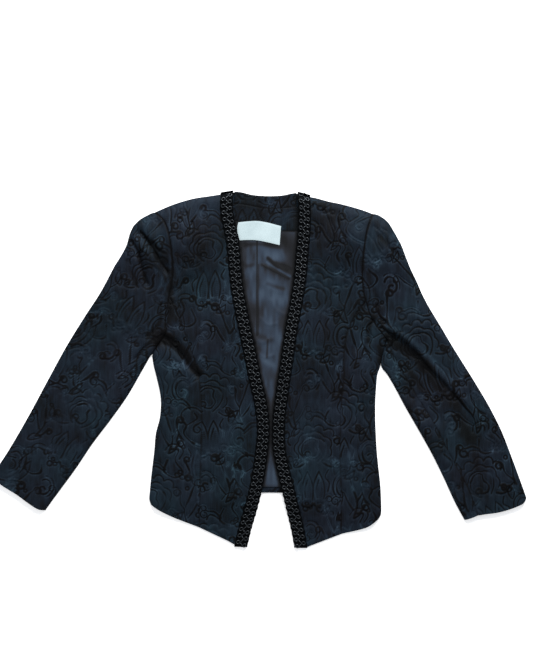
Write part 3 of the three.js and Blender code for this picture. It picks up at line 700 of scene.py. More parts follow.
STROKE_REACH = 9  # how far from a stroke its distance is known
STROKES = all_strokes()
TO_RIBBON = field_of(STROKES.ribbons, STROKE_REACH)
TO_LINE = field_of(STROKES.lines, STROKE_REACH)
TO_VEIN = field_of(STROKES.fine, 3)
SATIN_SHAPES = filled(STROKES.fills)


def blended(field, fx, fy, ease=None):
    """The field between its cells, wrapped round at its borders."""
    ny, nx = field.shape
    ix, iy = np.floor(fx).astype(int), np.floor(fy).astype(int)
    tx, ty = fx - ix, fy - iy
    if ease:
        tx, ty = ease(0, 1, tx), ease(0, 1, ty)
    x0, x1, y0, y1 = ix % nx, (ix + 1) % nx, iy % ny, (iy + 1) % ny
    low = field[y0, x0] * (1 - tx) + field[y0, x1] * tx
    high = field[y1, x0] * (1 - tx) + field[y1, x1] * tx
    return low * (1 - ty) + high * ty


def sample(field, u, v):
    return blended(field, u / CELL, v / CELL)


def cloud(x, y, size, seed):
    """Soft unevenness from 0 to 1 over the plan, with patches of about this size."""
    rows = np.random.RandomState(seed).rand(64, 64)
    return blended(rows, x / size + 31.3, y / size + 17.7, smooth)


# Relief of the figures in millimetres, and how far they darken (-) or lighten the cloth; the lightening in
# the groove beside a stroke is a painted highlight.
RIBBON_RISE, LINE_DEPTH, VEIN_DEPTH, GROOVE_DEPTH, PUFF = 0.6, 0.7, 0.3, 0.6, 0.5
RIBBON_TONE, LINE_TONE, VEIN_TONE, BESIDE_HIGHLIGHT, SATIN_TONE = -1.15, -0.9, -0.45, 0.5, 0.15
BESIDE, BESIDE_HALF = 1.1, 0.9  # the groove beside a stroke: its way out from it, and the half width of the painted highlight in it
VEIN_HALF = 0.9
PUFF_REACH = 4.5
WANDER = 5


def brocade_at(x, y, place):
    """Relief and tone of a panel cut with the pattern at this place: origin x and y, and its turn."""
    ox, oy, turn = place
    c, s = math.cos(math.radians(turn)), math.sin(math.radians(turn))
    u = (x - ox) * c + (y - oy) * s
    v = -(x - ox) * s + (y - oy) * c
    # The cloth isn't laid quite straight, and its figure shines unevenly.
    u = u + WANDER * (cloud(x, y, 60, 5) - 0.5)
    v = v + WANDER * (cloud(x, y, 60, 6) - 0.5)
    fields = (TO_RIBBON, TO_LINE, TO_VEIN)
    ribbon, line, vein = (np.minimum(sample(field, u, v), STROKE_REACH) for field in fields)
    half = RIBBON_HALF[0] + (RIBBON_HALF[1] - RIBBON_HALF[0]) * smooth(0.2, 0.8, cloud(x, y, 17, 13))
    thin = 0.8 + 0.8 * cloud(x, y, 14, 15)
    on_ribbon, on_line, on_vein = bell(ribbon, half), bell(line, thin), bell(vein, VEIN_HALF)
    # A painted highlight lies in the groove beside each stroke.
    beside = bell(ribbon - (half + BESIDE), BESIDE_HALF) + 0.7 * bell(line - (thin + BESIDE), BESIDE_HALF)
    puff = 1 - bell(np.minimum(ribbon, line), PUFF_REACH)
    relief = RIBBON_RISE * on_ribbon - GROOVE_DEPTH * bell(ribbon - (half + BESIDE), 1.0)
    relief += PUFF * puff - LINE_DEPTH * on_line - VEIN_DEPTH * on_vein
    tone = BESIDE_HIGHLIGHT * beside + RIBBON_TONE * on_ribbon + LINE_TONE * on_line
    tone += SATIN_TONE * sample(SATIN_SHAPES, u, v) + VEIN_TONE * on_vein
    strength = 0.25 + 1.3 * cloud(x, y, 30, 3)
    shine = smooth(0.62, 0.78, cloud(x, y, 26, 7))
    tone = np.where(tone < 0, tone * strength * (1 - 1.6 * shine), tone * strength)
    crinkle = cloud(x * 1.6, y * 0.7, 6.5, 19) - 0.5
    uneven = 0.5 * (cloud(x, y, 48, 11) - 0.5) + 0.35 * (cloud(x * 2, y * 0.8, 18, 17) - 0.5) + 0.3 * crinkle
    return relief * (0.7 + 1.1 * cloud(x, y, 40, 9)) + 0.2 * crinkle, np.clip(tone, -1.2, 1) + uneven


# Nets and meshes


def net(bottom, top, left, right):
    """A grid in plan between four border lines."""
    ub, ut, vl, vr = (shares_of(p) for p in (bottom, top, left, right))
    middle = ((vl + vr) / 2)[:, None]
    u = ub[None] * (1 - middle) + ut[None] * middle
    v = vl[:, None] * (1 - u) + vr[:, None] * u
    u, v = u[..., None], v[..., None]
    p = bottom[None] * (1 - v) + top[None] * v + left[:, None] * (1 - u) + right[:, None] * u
    p -= (1 - u) * (1 - v) * bottom[0] + u * (1 - v) * bottom[-1]
    p -= (1 - u) * v * top[0] + u * v * top[-1]
    return p


def count_for(length, step):
    """The number of points on a border of about this length."""
    return max(int(round(length / step)), 2) + 1


def side_net(side, bottom, top, outer, inner):
    """The net of a piece of either side, with its left border at the lower x."""
    if side == "right":
        return net(bottom, top, outer, inner)
    return net(bottom[::-1], top[::-1], inner, outer)


def border_distance(p):
    """Distance in millimetres from each point to the left, right, bottom and top border of its net."""
    across = np.linalg.norm(np.diff(p, axis=1), axis=2)
    along = np.linalg.norm(np.diff(p, axis=0), axis=2)
    left = np.concatenate([np.zeros((p.shape[0], 1)), np.cumsum(across, axis=1)], axis=1)
    bottom = np.concatenate([np.zeros((1, p.shape[1])), np.cumsum(along, axis=0)], axis=0)
    return {"left": left, "right": left[:, -1:] - left, "bottom": bottom, "top": bottom[-1:] - bottom}


def drawn_in(p):
    """The net with its border drawn in by a hair, so that no two pieces share a wall."""
    out = p.copy()
    for edge, inner in (np.s_[:, 0], np.s_[:, 1]), (np.s_[:, -1], np.s_[:, -2]), (0, 1), (-1, -2):
        way = p[inner] - p[edge]
        size = np.linalg.norm(way, axis=1, keepdims=True)
        out[edge] += way / np.maximum(size, 1e-6) * np.minimum(SEAM_OPEN, size * 0.4)
    return out


def raised(plan, z):
    """The net in plan at its heights, which may be one for all."""
    return np.concatenate([plan, np.broadcast_to(z, plan.shape[:2])[..., None]], axis=2)


def level(z):
    """A height that is the same everywhere."""
    return lambda x, y: np.full(np.shape(x), z)


def normals_of(p):
    n = np.cross(np.gradient(p, axis=1), np.gradient(p, axis=0))
    size = np.linalg.norm(n, axis=2, keepdims=True)
    return np.where(size > 1e-9, n / np.maximum(size, 1e-9), np.array([0, 0, 1.0]))


def make_object(name, points, faces, material, tone=None, square_from=None):
    """A mesh in millimetres. The faces from square_from on are flat, with sharp edges."""
    mesh = bpy.data.meshes.new(name)
    mesh.from_pydata((points * MM).tolist(), [], faces.tolist())
    mesh.polygons.foreach_set("use_smooth", np.arange(len(faces)) < (square_from or len(faces)))
    if square_from:
        loop_edges = np.empty(len(mesh.loops), np.int32)
        mesh.loops.foreach_get("edge_index", loop_edges)
        sharp = np.zeros(len(mesh.edges), bool)
        sharp[loop_edges[square_from * faces.shape[1] :]] = True
        mesh.edges.foreach_set("use_edge_sharp", sharp)
    if tone is not None:
        layer = mesh.attributes.new("tone", "FLOAT", "POINT")
        layer.data.foreach_set("value", tone.astype(np.float32))
    mesh.materials.append(material)
    return in_scene(bpy.data.objects.new(name, mesh))


def in_scene(obj):
    bpy.context.scene.collection.objects.link(obj)
    return obj


def grid_faces(n, m, start=0):
    i = np.arange(n * m).reshape(n, m) + start
    return np.stack([i[:-1, :-1], i[:-1, 1:], i[1:, 1:], i[1:, :-1]], axis=-1).reshape(-1, 4)


def shell(name, outer, inner, material, tone=None):
    """A closed sheet between an outer and an inner net of the same shape."""
    n, m = outer.shape[:2]
    half = n * m
    points = shifted(np.vstack([outer.reshape(-1, 3), inner.reshape(-1, 3)]))
    top = np.arange(half).reshape(n, m)
    under = top + half
    faces = [grid_faces(n, m), grid_faces(n, m, half)[:, ::-1]]
    sheet_faces = sum(len(f) for f in faces)
    for edge, turn in (np.s_[0, :], 1), (np.s_[:, -1], 1), (np.s_[-1, :], -1), (np.s_[:, 0], -1):
        a, b = top[edge][::turn], under[edge][::turn]
        faces.append(np.stack([a[:-1], b[:-1], b[1:], a[1:]], axis=-1))
    tones = None if tone is None else np.tile(tone.ravel(), 2)
    return make_object(name, points, np.vstack(faces), material, tones, sheet_faces)


def shifted(p):
    """From the plan of the photograph to the frame, whose origin is the garment's middle."""
    return p + np.array([*TO_MIDDLE, 0])


def inner_of(outer, thickness, low):
    """The inside of a cloth of this thickness, which goes no lower than low."""
    inner = outer - normals_of(outer) * thickness
    inner[..., 2] = np.maximum(inner[..., 2], low)
    # At the border the cloth's edge stays square, inside its own piece.
    for edge in (np.s_[0, :], np.s_[-1, :], np.s_[:, 0], np.s_[:, -1]):
        inner[edge][..., :2] = outer[edge][..., :2] * 0.9 + inner[edge][..., :2] * 0.1
        inner[edge][..., 2] = np.maximum(outer[edge][..., 2] - thickness, low[edge])
    return inner


# How deep and wide the dip along a seam is, and how far its shade reaches.
SEAM_DIP = 1.0
SEAM_REACH = 2.2
SEAM_SHADE_REACH = 1.6
SEAM_SHADE = 1.3
FAINT_SEAM = 0.3  # the panel seams of the body, beside those of the armholes
CREASE_SHADE = 0.2
CREASE_BANK = 2.0  # the shaded bank lies this far off the crease's middle


def seam_strength(x, y):
    """Full at the armholes, and faint along the seams that run down the body."""
    near = np.minimum(*(distance_to(DENSE[side]["armhole"], x, y) for side in ("right", "left")))
    return FAINT_SEAM + (1 - FAINT_SEAM) * (1 - smooth(2, 12, near))


def brocade_panel(name, plan, height, low, place, seams, creases=(), figure=1, thickness=CLOTH, shade=0):
    """A panel of brocade on a net in plan. seams names the borders where it is sewn and dips."""
    plan = drawn_in(plan)
    x, y = plan[..., 0], plan[..., 1]
    base = raised(plan, height(x, y))
    relief, tone = brocade_at(x, y, place)
    distance = border_distance(plan)
    relief = relief * figure * smooth(0, 3, np.minimum.reduce(list(distance.values())))
    strength = seam_strength(x, y)
    for side in seams:
        relief = relief - SEAM_DIP * strength * bell(distance[side], SEAM_REACH)
        tone = tone - SEAM_SHADE * strength * bell(distance[side], SEAM_SHADE_REACH)
    tone = tone - shade
    if creases:
        tone = tone - CREASE_SHADE * folds(creases, x, y - CREASE_BANK) + folds(FOLD_TONES, x, y)
    outer = base + normals_of(base) * relief[..., None]
    floor = low(x, y)
    outer[..., 2] = np.maximum(outer[..., 2], floor + CLOTH_LEAST)
    inner = inner_of(base, thickness, floor)
    inner[..., 2] = np.minimum(inner[..., 2], outer[..., 2] - 0.8 * CLOTH_LEAST)
    return shell(name, outer, inner, BROCADE, tone)


# Materials


def material_of(build):
    """A material that is named and made by this function."""
    mat = bpy.data.materials.new(build.__name__)
    mat.use_nodes = True
    tree = mat.node_tree
    build(tree, tree.nodes["Principled BSDF"])
    return mat


def node(tree, kind, sources=None, **settings):
    """A shader node with its settings, and with the sources of its inputs by name or number."""
    made = tree.nodes.new("ShaderNode" + kind)
    for key, value in settings.items():
        if key in made.inputs:
            made.inputs[key].default_value = value
        else:
            setattr(made, key, value)
    for key, source in (sources or {}).items():
        if isinstance(source, float):
            made.inputs[key].default_value = source
        else:
            tree.links.new(source, made.inputs[key])
    return made


def grain(tree, kind, stretch=(1, 1, 1), **settings):
    """A noise or wave laid by the garment's own coordinates."""
    coords = node(tree, "TexCoord").outputs["Object"]
    placed = node(tree, "Mapping", {"Vector": coords}, Scale=stretch).outputs["Vector"]
    return node(tree, "Tex" + kind, {"Vector": placed}, **settings).outputs["Fac"]


def times_plus(tree, source, factor, extra):
    return node(tree, "Math", {0: source, 1: factor, 2: extra}, operation="MULTIPLY_ADD").outputs[0]


def tone_of(tree):
    return node(tree, "Attribute", attribute_name="tone").outputs["Fac"]


def ramp(tree, source, *stops):
    """The source as a colour, between stops of position, red, green and blue."""
    made = node(tree, "ValToRGB", {"Fac": source})
    elements = made.color_ramp.elements
    while len(elements) < len(stops):
        elements.new(0.5)
    for element, (position, *colour) in zip(elements, stops):
        element.position = position
        element.color = (*colour, 1)
    return made.outputs["Color"]


def cloth_of(tree, shader, colour, weave, strength, depth):
    """The colour of a cloth and the bumps of its weave, with the depth in metres."""
    tree.links.new(colour, shader.inputs["Base Color"])
    bump = node(tree, "Bump", {"Height": weave}, Strength=strength, Distance=depth).outputs["Normal"]
    tree.links.new(bump, shader.inputs["Normal"])
    return bump


def gloss_over(tree, shader, bump, weight, roughness, colour):
    """An even gloss over a matte shader, which doesn't whiten where the cloth turns away."""
    shader.inputs["Specular IOR Level"].default_value = 0.0
    gloss = node(tree, "BsdfAnisotropic", {"Normal": bump}, Color=(*colour, 1), Roughness=roughness)
    mixed = node(tree, "MixShader", {0: weight, 1: shader.outputs[0], 2: gloss.outputs[0]})
    tree.links.new(mixed.outputs[0], tree.nodes["Material Output"].inputs["Surface"])


def brocade(tree, shader):
    """Matte blue-black ground, with figures that turn brown-black or catch a bluish light."""
    streaks = grain(tree, "Noise", (420, 36, 36), Scale=1.0, Detail=2.0)
    mixed = times_plus(tree, streaks, 0.26, times_plus(tree, tone_of(tree), 0.42, 0.42))
    colour = ramp(
        tree, mixed,
        (0.12, 0.0020, 0.0015, 0.0015),
        (0.38, 0.0040, 0.0040, 0.0046),
        (0.54, 0.0060, 0.0088, 0.0136),
        (0.74, 0.0096, 0.0160, 0.0246),
        (1.0, 0.0250, 0.0440, 0.0630),
    )
    patches = grain(tree, "Noise", Scale=9.0, Detail=3.0)
    tint = ramp(tree, patches, (0.36, 0.90, 1.04, 0.98), (0.5, 1.0, 1.0, 1.0), (0.64, 1.13, 0.98, 1.0))
    tinted = node(tree, "Mix", {0: 1.0, 6: colour, 7: tint}, data_type="RGBA", blend_type="MULTIPLY")
    ribs = grain(tree, "Wave", Scale=420.0, Distortion=1.2, bands_direction="X")
    weft = grain(tree, "Wave", Scale=300.0, Distortion=1.5, bands_direction="Y")
    bump = cloth_of(tree, shader, tinted.outputs[2], times_plus(tree, ribs, 1.0, weft), 0.35, 0.0003)
    gloss_over(tree, shader, bump, 0.005, 0.5, (0.72, 0.88, 1.0))


def lining_satin(tree, shader):
    """Slate satin, with painted shade that turns it darker and browner in its hollows."""
    cloudy = grain(tree, "Noise", Scale=26.0, Detail=4.0)
    colour = ramp(
        tree,
        times_plus(tree, cloudy, 0.3, tone_of(tree)),
        (0.0, 0.0052, 0.0046, 0.0048),
        (0.33, 0.0130, 0.0138, 0.0178),
        (0.6, 0.0215, 0.0310, 0.0480),
        (1.0, 0.0430, 0.0640, 0.0940),
    )
    twill = grain(tree, "Wave", Scale=520.0, Distortion=0.6, bands_direction="DIAGONAL")
    bump = cloth_of(tree, shader, colour, twill, 0.15, 0.0002)
    gloss_over(tree, shader, bump, 0.018, 0.36, (0.8, 0.9, 1.0))


def braid_ribbon(tree, shader):
    """Black ribbon with a fine fibre."""
    fibre = grain(tree, "Noise", Scale=900.0, Detail=2.0)
    colour = ramp(tree, fibre, (0.3, 0.0004, 0.0004, 0.0005), (0.7, 0.0024, 0.0025, 0.0028))
    bump = cloth_of(tree, shader, colour, fibre, 0.6, 0.0004)
    gloss_over(tree, shader, bump, 0.002, 0.6, (0.8, 0.9, 1.0))


def braid_cord(tree, shader):
    """Lustrous wrapped cord."""
    wrap = grain(tree, "Noise", Scale=1400.0, Detail=2.0)
    colour = ramp(tree, wrap, (0.3, 0.0020, 0.0024, 0.0030), (0.7, 0.0100, 0.0120, 0.0145))
    bump = cloth_of(tree, shader, colour, wrap, 0.25, 0.0002)
    gloss_over(tree, shader, bump, 0.03, 0.3, (0.85, 0.93, 1.0))


def label_cloth(tree, shader):
    """Pale blue-grey ribbed tape."""
    cloudy = grain(tree, "Noise", Scale=30.0, Detail=3.0)
    colour = ramp(tree, cloudy, (0.3, 0.37, 0.455, 0.475), (0.7, 0.43, 0.52, 0.54))
    ribs = grain(tree, "Wave", Scale=520.0, Distortion=0.4, bands_direction="Y")
    cloth_of(tree, shader, colour, ribs, 0.3, 0.0002)
    shader.inputs["Roughness"].default_value = 0.6
    shader.inputs["Specular IOR Level"].default_value = 0.2


BROCADE, SATIN, RIBBON, CORD, WOVEN = (
    material_of(build) for build in (brocade, lining_satin, braid_ribbon, braid_cord, label_cloth)
)


# Pieces

# Where the pattern's repeat starts on each panel, in plan, and its turn from upright.
PLACES = {
    "front_right": (-144, -152, 0),
    "side_front_right": (-250, -60, 0),
    "front_left": (55, 39, 0),
    "side_front_left": (101, -183, 0),
    "sleeve_right": (-420, -150, -26),
    "sleeve_left": (300, -60, 24),
    "under_left": (330, -150, 24),
    "back": (-140, -150, 0),
    "neck": (-70, 250, 0),
}


def add_piece(obj, node=None):
    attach(obj, "root")
    if node:
        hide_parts(node)
    return obj


def body_parts(side):
    """The princess seam, and the armhole below and above the place where it ends."""
    rows = LINES[side]
    armhole = spline(rows["armhole"])
    below = armhole[:, 1] <= rows["princess"][-1][1]
    lower = armhole[below]
    upper = np.vstack([lower[-1], armhole[~below]])
    return spline([*rows["princess"][:-1], list(lower[-1])]), lower, upper


# Near its ends the drawn-in edge turns to lie along the shoulder and the hem.
EDGE_TOP_BLEND, EDGE_FOOT_BLEND = (18.5, 75), (0, 22)


def edge_line(side, inset, step):
    """The front edge drawn in by inset, from hem to shoulder."""
    rows = LINES[side]
    turn = 1 if side == "right" else -1
    line = spline(rows["edge"])
    way = np.gradient(line, axis=0)
    way /= np.linalg.norm(way, axis=1, keepdims=True)
    shoulder = spline(rows["shoulder"])
    share = 1 - inset / length_of(shoulder)
    top = np.array([np.interp(share, shares_of(shoulder), shoulder[:, k]) for k in (0, 1)]) - line[-1]
    foot = np.array(rows["hem"][-2], float) - line[0]
    foot *= inset / np.linalg.norm(foot)
    from_top = np.linalg.norm(line - line[-1], axis=1)[:, None]
    from_foot = np.linalg.norm(line - line[0], axis=1)[:, None]
    moved = np.stack([-way[:, 1], way[:, 0]], axis=1) * turn * inset
    moved = moved + (top - moved) * (1 - smooth(*EDGE_TOP_BLEND, from_top))
    moved = moved + (foot - moved) * (1 - smooth(*EDGE_FOOT_BLEND, from_foot))
    return resampled(line + moved, count_for(length_of(line), step))


def body_panel(node, plan, side, seam):
    """A panel of the body, sewn at one border, with its folds."""
    top = partial(body_top, side=side)
    panel = brocade_panel(f"cloth_{node}", plan, top, body_low, PLACES[node], (seam,), BODY_CREASES)
    return add_piece(panel, node)


def make_front(side):
    rows = LINES[side]
    princess, _, upper = body_parts(side)
    split = [r[0] for r in rows["hem"]].index(rows["princess"][0][0])
    edge = edge_line(side, BRAID_OVERHANG, FINE)
    count = count_for(150, FINE)
    hem = resampled(np.vstack([spline(rows["hem"][split:])[:-1], edge[0]]), count)
    shoulder = resampled(np.vstack([spline(rows["shoulder"])[:-1], edge[-1]]), count)
    plan = side_net(side, hem, shoulder, resampled(joined(princess, upper), len(edge)), edge)
    piece = body_panel(f"front_{side}", plan, side, "left" if side == "right" else "right")


def make_side_front(side):
    rows = LINES[side]
    princess, lower, _ = body_parts(side)
    split = [r[0] for r in rows["hem"]].index(rows["princess"][0][0])
    length, width = count_for(460, FINE), count_for(95, FINE)
    outer = resampled(joined(spline(rows["side"]), lower), length)
    tip = np.repeat(princess[-1:], width, axis=0)
    plan = side_net(side, even(rows["hem"][: split + 1], width), tip, outer, resampled(princess, length))
    piece = body_panel(f"side_front_{side}", plan, side, side)


def sleeve_plan(side, inner, cuff, step):
    """The net of a sleeve from its cuff to its cap, with this line on the body's side below the armhole."""
    rows = LINES[side]
    length, width = count_for(560, step), count_for(120, step)
    outer = resampled(joined(spline(rows["sleeve_outer"]), spline(rows["cap_outer"])), length)
    inner = resampled(joined(spline(inner), spline(rows["armhole"])), length)
    return side_net(side, resampled(cuff, width), even(rows["cap_top"], width), outer, inner)


def make_upper_sleeve(side):
    rows = LINES[side]
    plan = sleeve_plan(side, rows.get("sleeve_seam", rows["sleeve_inner"]), spline(rows["cuff"]), FINE)
    top, low = partial(sleeve_top, side=side), level(EDGE_BASE)
    name, place = f"cloth_sleeve_upper_{side}", PLACES[f"sleeve_{side}"]
    piece = brocade_panel(name, plan, top, low, place, (side,), SLEEVE_CREASES[side])
    add_piece(piece, f"sleeve_upper_{side}")


def make_turn(side):
    """The strip of the under sleeve that turns up onto the top, between the fold and the sleeve's seam."""
    rows = LINES[side]
    length, width = count_for(410, FINE), count_for(26, FINE)
    tip = np.repeat(np.array(rows["armhole"][:1], float), width, axis=0)
    sides = even(rows["sleeve_inner"], length), even(rows["sleeve_seam"], length)
    strip = net(even(rows["cuff_turn"], width), tip, *sides)

    def top(x, y):
        at_fold = 1 - smooth(0, TURN_REACH, distance_to(DENSE[side]["inner"], x, y))
        return sleeve_top(x, y, side) - TURN_DROP * at_fold

    name = f"cloth_sleeve_turn_{side}"
    return brocade_panel(name, strip, top, level(TURN_LOW), PLACES["under_left"], seams=("right",))


def make_under_sleeve(side):
    rows = LINES[side]
    cuff = spline(rows["cuff"])
    if "cuff_turn" in rows:
        cuff = joined(cuff, spline(rows["cuff_turn"])[::-1])
    plan = sleeve_plan(side, rows["sleeve_inner"], cuff, COARSE)
    under = flat_sheet(f"cloth_sleeve_under_{side}", plan, PLACES[f"sleeve_{side}"])
    pieces = [make_turn(side)] if "cuff_turn" in rows else []
    for piece in pieces:
        add_piece(piece)
    add_piece(under, f"sleeve_under_{side}")


def flat_sheet(name, plan, place):
    """A cloth that lies flat underneath."""
    plan = drawn_in(plan)
    _, tone = brocade_at(plan[..., 0], plan[..., 1], place)
    return shell(name, raised(plan, FLAT_CLOTH), raised(plan, 0.0), BROCADE, tone)


def make_back():
    right, left = LINES["right"], LINES["left"]
    sides = [resampled(joined(spline(rows["side"]), spline(rows["armhole"])), 150) for rows in (right, left)]
    neck = spline([right["shoulder"][-1], *NECK_TOP[1:-1], left["shoulder"][-1]])
    top = joined(spline(right["shoulder"]), neck, spline(left["shoulder"])[::-1])
    plan = net(even(BACK_HEM, 112), resampled(top, 112), *sides)
    back = flat_sheet("cloth_back", plan, PLACES["back"])
    add_piece(back, "back")


def neck_panel(name, plan, top, seams, relief, shade):
    """Thinner cloth inside the back neck, with less relief, in the shade of the collar line."""
    low = level(EDGE_BASE)
    return brocade_panel(name, plan, top, low, PLACES["neck"], seams, (), relief, NECK_CLOTH, shade)


def make_neck_band():
    across, up = count_for(118, FINE), count_for(25, FINE)
    sides = [even([NECK_SEAM[end], NECK_TOP[end]], up) for end in (0, -1)]
    plan = net(even(NECK_SEAM, across), even(NECK_TOP, across), *sides)
    roll = spline(NECK_TOP)

    def top(x, y):
        return EDGE_BASE + BAND_EDGE + BAND_RISE * roll_over(distance_to(roll, x, y), BAND_REACH)

    piece = neck_panel("cloth_neck_band", plan, top, ("bottom",), 0.7, 0.35)
    add_piece(piece, "back_neck_band")


def make_neck_facing():
    across, up = count_for(118, FINE), count_for(48, FINE)
    sides = [even(rows, up) for rows in FACING_SIDES]
    plan = net(even(FACING_SEAM, across), even(NECK_SEAM, across), *sides)
    piece = neck_panel("cloth_neck_facing", plan, level(FACING_TOP), ("top", "bottom"), 0.5, 0.3)
    add_piece(piece, "back_neck_facing")


def lining_tone(x, y):
    """Its sheen's unevenness, the lines of its centre pleat, the painted shade and highlights of its
    wrinkles, and the painted shade beside the fronts.
    """
    tone = 0.4 + 0.5 * (cloud(x, y, 26, 21) - 0.5) + 0.3 * (cloud(x * 2.2, y * 0.7, 12, 22) - 0.5)
    tone = tone + folds(LINING_PAINTED_LIGHT, x, y) + folds(PLEAT_LINES, x, y)
    for side in ("right", "left"):
        tone = tone - 0.5 * bell(distance_to(DENSE[side]["edge"], x, y), 3.0)
    return tone


def make_lining():
    across, up = count_for(190, 1.5), count_for(500, 2.4)
    sides = [even(rows, up) for rows in LINING_SIDES]
    plan = drawn_in(net(even(LINING_HEM, across), even(FACING_SEAM, across), *sides))
    x, y = plan[..., 0], plan[..., 1]
    top = np.maximum(lining_top(x, y) + folds(PLEAT_LINES, x, y) * 0.5, LINING_TOP - 0.2)
    # Painted shade along its top border, where it goes under the neck facing.
    tone = lining_tone(x, y) - 2 * bell(border_distance(plan)["top"], 1.0)
    under = np.minimum(np.maximum(EDGE_BASE + 0.1, top - 0.8), top - 0.1)
    piece = shell("cloth_back_lining", raised(plan, top), raised(plan, under), SATIN, tone)
    add_piece(piece, "back_lining")


def make_label():
    across, up = 60, 28
    plan = net(even(LABEL_FOOT, across), even(LABEL_TOP, across), *(even(rows, up) for rows in LABEL_SIDES))
    edge = np.minimum.reduce(list(border_distance(plan).values()))
    wave = LABEL_WAVE * np.sin(plan[..., 0] * 0.09 + 1) * smooth(0, 12, edge)
    top = LABEL_LOW + LABEL_EDGE + LABEL_CROWN * (1 - bell(edge, 1.6)) + wave
    piece = shell("woven_label", raised(plan, top), raised(plan, LABEL_LOW), WOVEN)
    add_piece(piece, "label")


# Braid


def tube(path, radius, sides=6):
    """One swept cord along a path of points, closed at its ends: points, four-sided and three-sided faces."""
    way = np.gradient(path, axis=0)
    way /= np.maximum(np.linalg.norm(way, axis=1, keepdims=True), 1e-9)
    side = np.cross(way, np.array([0, 0, 1.0]))
    side /= np.maximum(np.linalg.norm(side, axis=1, keepdims=True), 1e-9)
    up = np.cross(side, way)
    a = np.linspace(0, 2 * np.pi, sides, endpoint=False)[None, :, None]
    points = (path[:, None] + radius * (np.cos(a) * side[:, None] + np.sin(a) * up[:, None])).reshape(-1, 3)
    n = len(points)
    i = np.arange(n).reshape(len(path), sides)
    j = np.roll(i, -1, axis=1)
    faces = np.stack([i[:-1], j[:-1], j[1:], i[1:]], axis=-1).reshape(-1, 4)
    caps = [[j[0][k], i[0][k], n] for k in range(sides)]
    caps += [[i[-1][k], j[-1][k], n + 1] for k in range(sides)]
    return np.vstack([points, path[0], path[-1]]), faces, np.array(caps)


def tube_object(name, tubes, material):
    points, quads, tris, start = [], [], [], 0
    for p, q, t in tubes:
        points.append(p)
        quads.append(q + start)
        tris.append(t + start)
        start += len(p)
    quads, tris = np.vstack(quads), np.vstack(tris)
    split = np.vstack([quads[:, [0, 1, 2]], quads[:, [0, 2, 3]], tris])
    return make_object(name, np.vstack(points), split, material)


LOOP_RADIUS = 3.1
CORD_RADIUS = 1.0
COLUMN = 6.5  # from the braid's middle line to the middle of a row of loops
BRAID_BASE = SEAM_GAP + 0.3
LOOP_LIFT = 0.7  # how much higher a loop ends than it starts
RAIL_RADIUS = 0.55
RAIL_INSET = 2.4
RIBBON_EDGE, RIBBON_CROWN = 0.35, 0.5  # thickness at its borders, and how much more at its middle
RIBBON_TOP = BRAID_BASE + RIBBON_EDGE + RIBBON_CROWN


class EdgeFrame:
    """Places points given by the way along a front edge, the way in from it and the height over the cloth."""

    def __init__(self, side):
        self.side = side
        self.lines = []
        for inset in (0.0, BRAID_WIDTH):
            line = edge_line(side, inset, 1.0)
            self.steps = len(line) - 1
            self.lines.append(np.vstack([line, line[-1] + (line[-1] - line[-4]) / 3 * (BRAID_STANDS + 1)]))
        self.length = length_of(self.lines[0][:-1])

    def plan(self, along, inside):
        s = along / self.length * self.steps
        marks = np.append(np.arange(self.steps + 1.0), self.steps + BRAID_STANDS + 1)
        near, far = (
            np.stack([np.interp(s, marks, line[:, k]) for k in (0, 1)], axis=-1) for line in self.lines
        )
        t = (inside / BRAID_WIDTH)[..., None]
        return near * (1 - t) + far * t

    def place(self, along, inside, over):
        p = self.plan(along, inside)
        z = body_top(p[..., 0], p[..., 1], self.side) + over
        return np.concatenate([p, z[..., None]], axis=-1)


def loop_path(length):
    """A cord that turns a full loop in each of two rows in turn, and dips under each loop it comes to."""
    points = []
    half = BRAID_PITCH / 2
    count = int(length // half)
    for k in range(count):
        side = 1 if k % 2 else -1
        along, across = half * (k + 0.5), BRAID_WIDTH / 2 + side * COLUMN
        for step, turn in enumerate(np.radians(np.linspace(180, -150, 16))):
            lift = LOOP_LIFT * step / 15
            forth, inward = LOOP_RADIUS * math.sin(turn), side * LOOP_RADIUS * math.cos(turn)
            points.append((along + forth, across + inward, lift))

        start = np.array(points[-1][:2])
        end = np.array([along + half - 0.4, BRAID_WIDTH / 2 - side * (COLUMN - LOOP_RADIUS)])
        for t, lift in ((0.25, 0.75), (0.5, 0.6), (0.68, 0.1), (0.85, -0.7)):
            q = start + (end - start) * t
            points.append((q[0] + 0.5 * math.sin(math.pi * t), q[1], lift))
    return np.array(points)


def braid_ribbon_of(guide):
    """The scalloped ribbon under the cord, a little thicker at its middle."""
    along = np.linspace(0, guide.length + BRAID_STANDS, count_for(guide.length, 1.55))
    across = np.linspace(0, 1, 15)
    notch = BRAID_SCALLOP * (0.5 - 0.5 * np.cos(2 * np.pi * along / BRAID_PITCH))
    width = BRAID_WIDTH - notch - (BRAID_SCALLOP - notch)
    inside = notch[:, None] + across[None] * width[:, None]
    low = guide.place(np.repeat(along[:, None], len(across), axis=1), inside, BRAID_BASE)
    high = low.copy()
    high[..., 2] += RIBBON_EDGE + RIBBON_CROWN * np.sin(np.pi * across)[None] ** 0.5
    turn = -1 if guide.side == "right" else 1
    return shell(f"braid_ribbon_{guide.side}", high[:, ::turn], low[:, ::turn], RIBBON)


def braid_rails_of(guide):
    """Three fine cords along the ribbon, at its edges and its middle, that wave with the loops."""
    rails = []
    along = np.linspace(1, guide.length - 1, int(guide.length / 3))
    for inset in (RAIL_INSET, BRAID_WIDTH - RAIL_INSET, BRAID_WIDTH / 2):
        wave = inset + 0.5 * np.sin(2 * np.pi * along / (BRAID_PITCH / 2))
        rails.append(tube(shifted(guide.place(along, wave, RIBBON_TOP)), RAIL_RADIUS, 5))
    return tube_object(f"braid_rails_{guide.side}", rails, RIBBON)


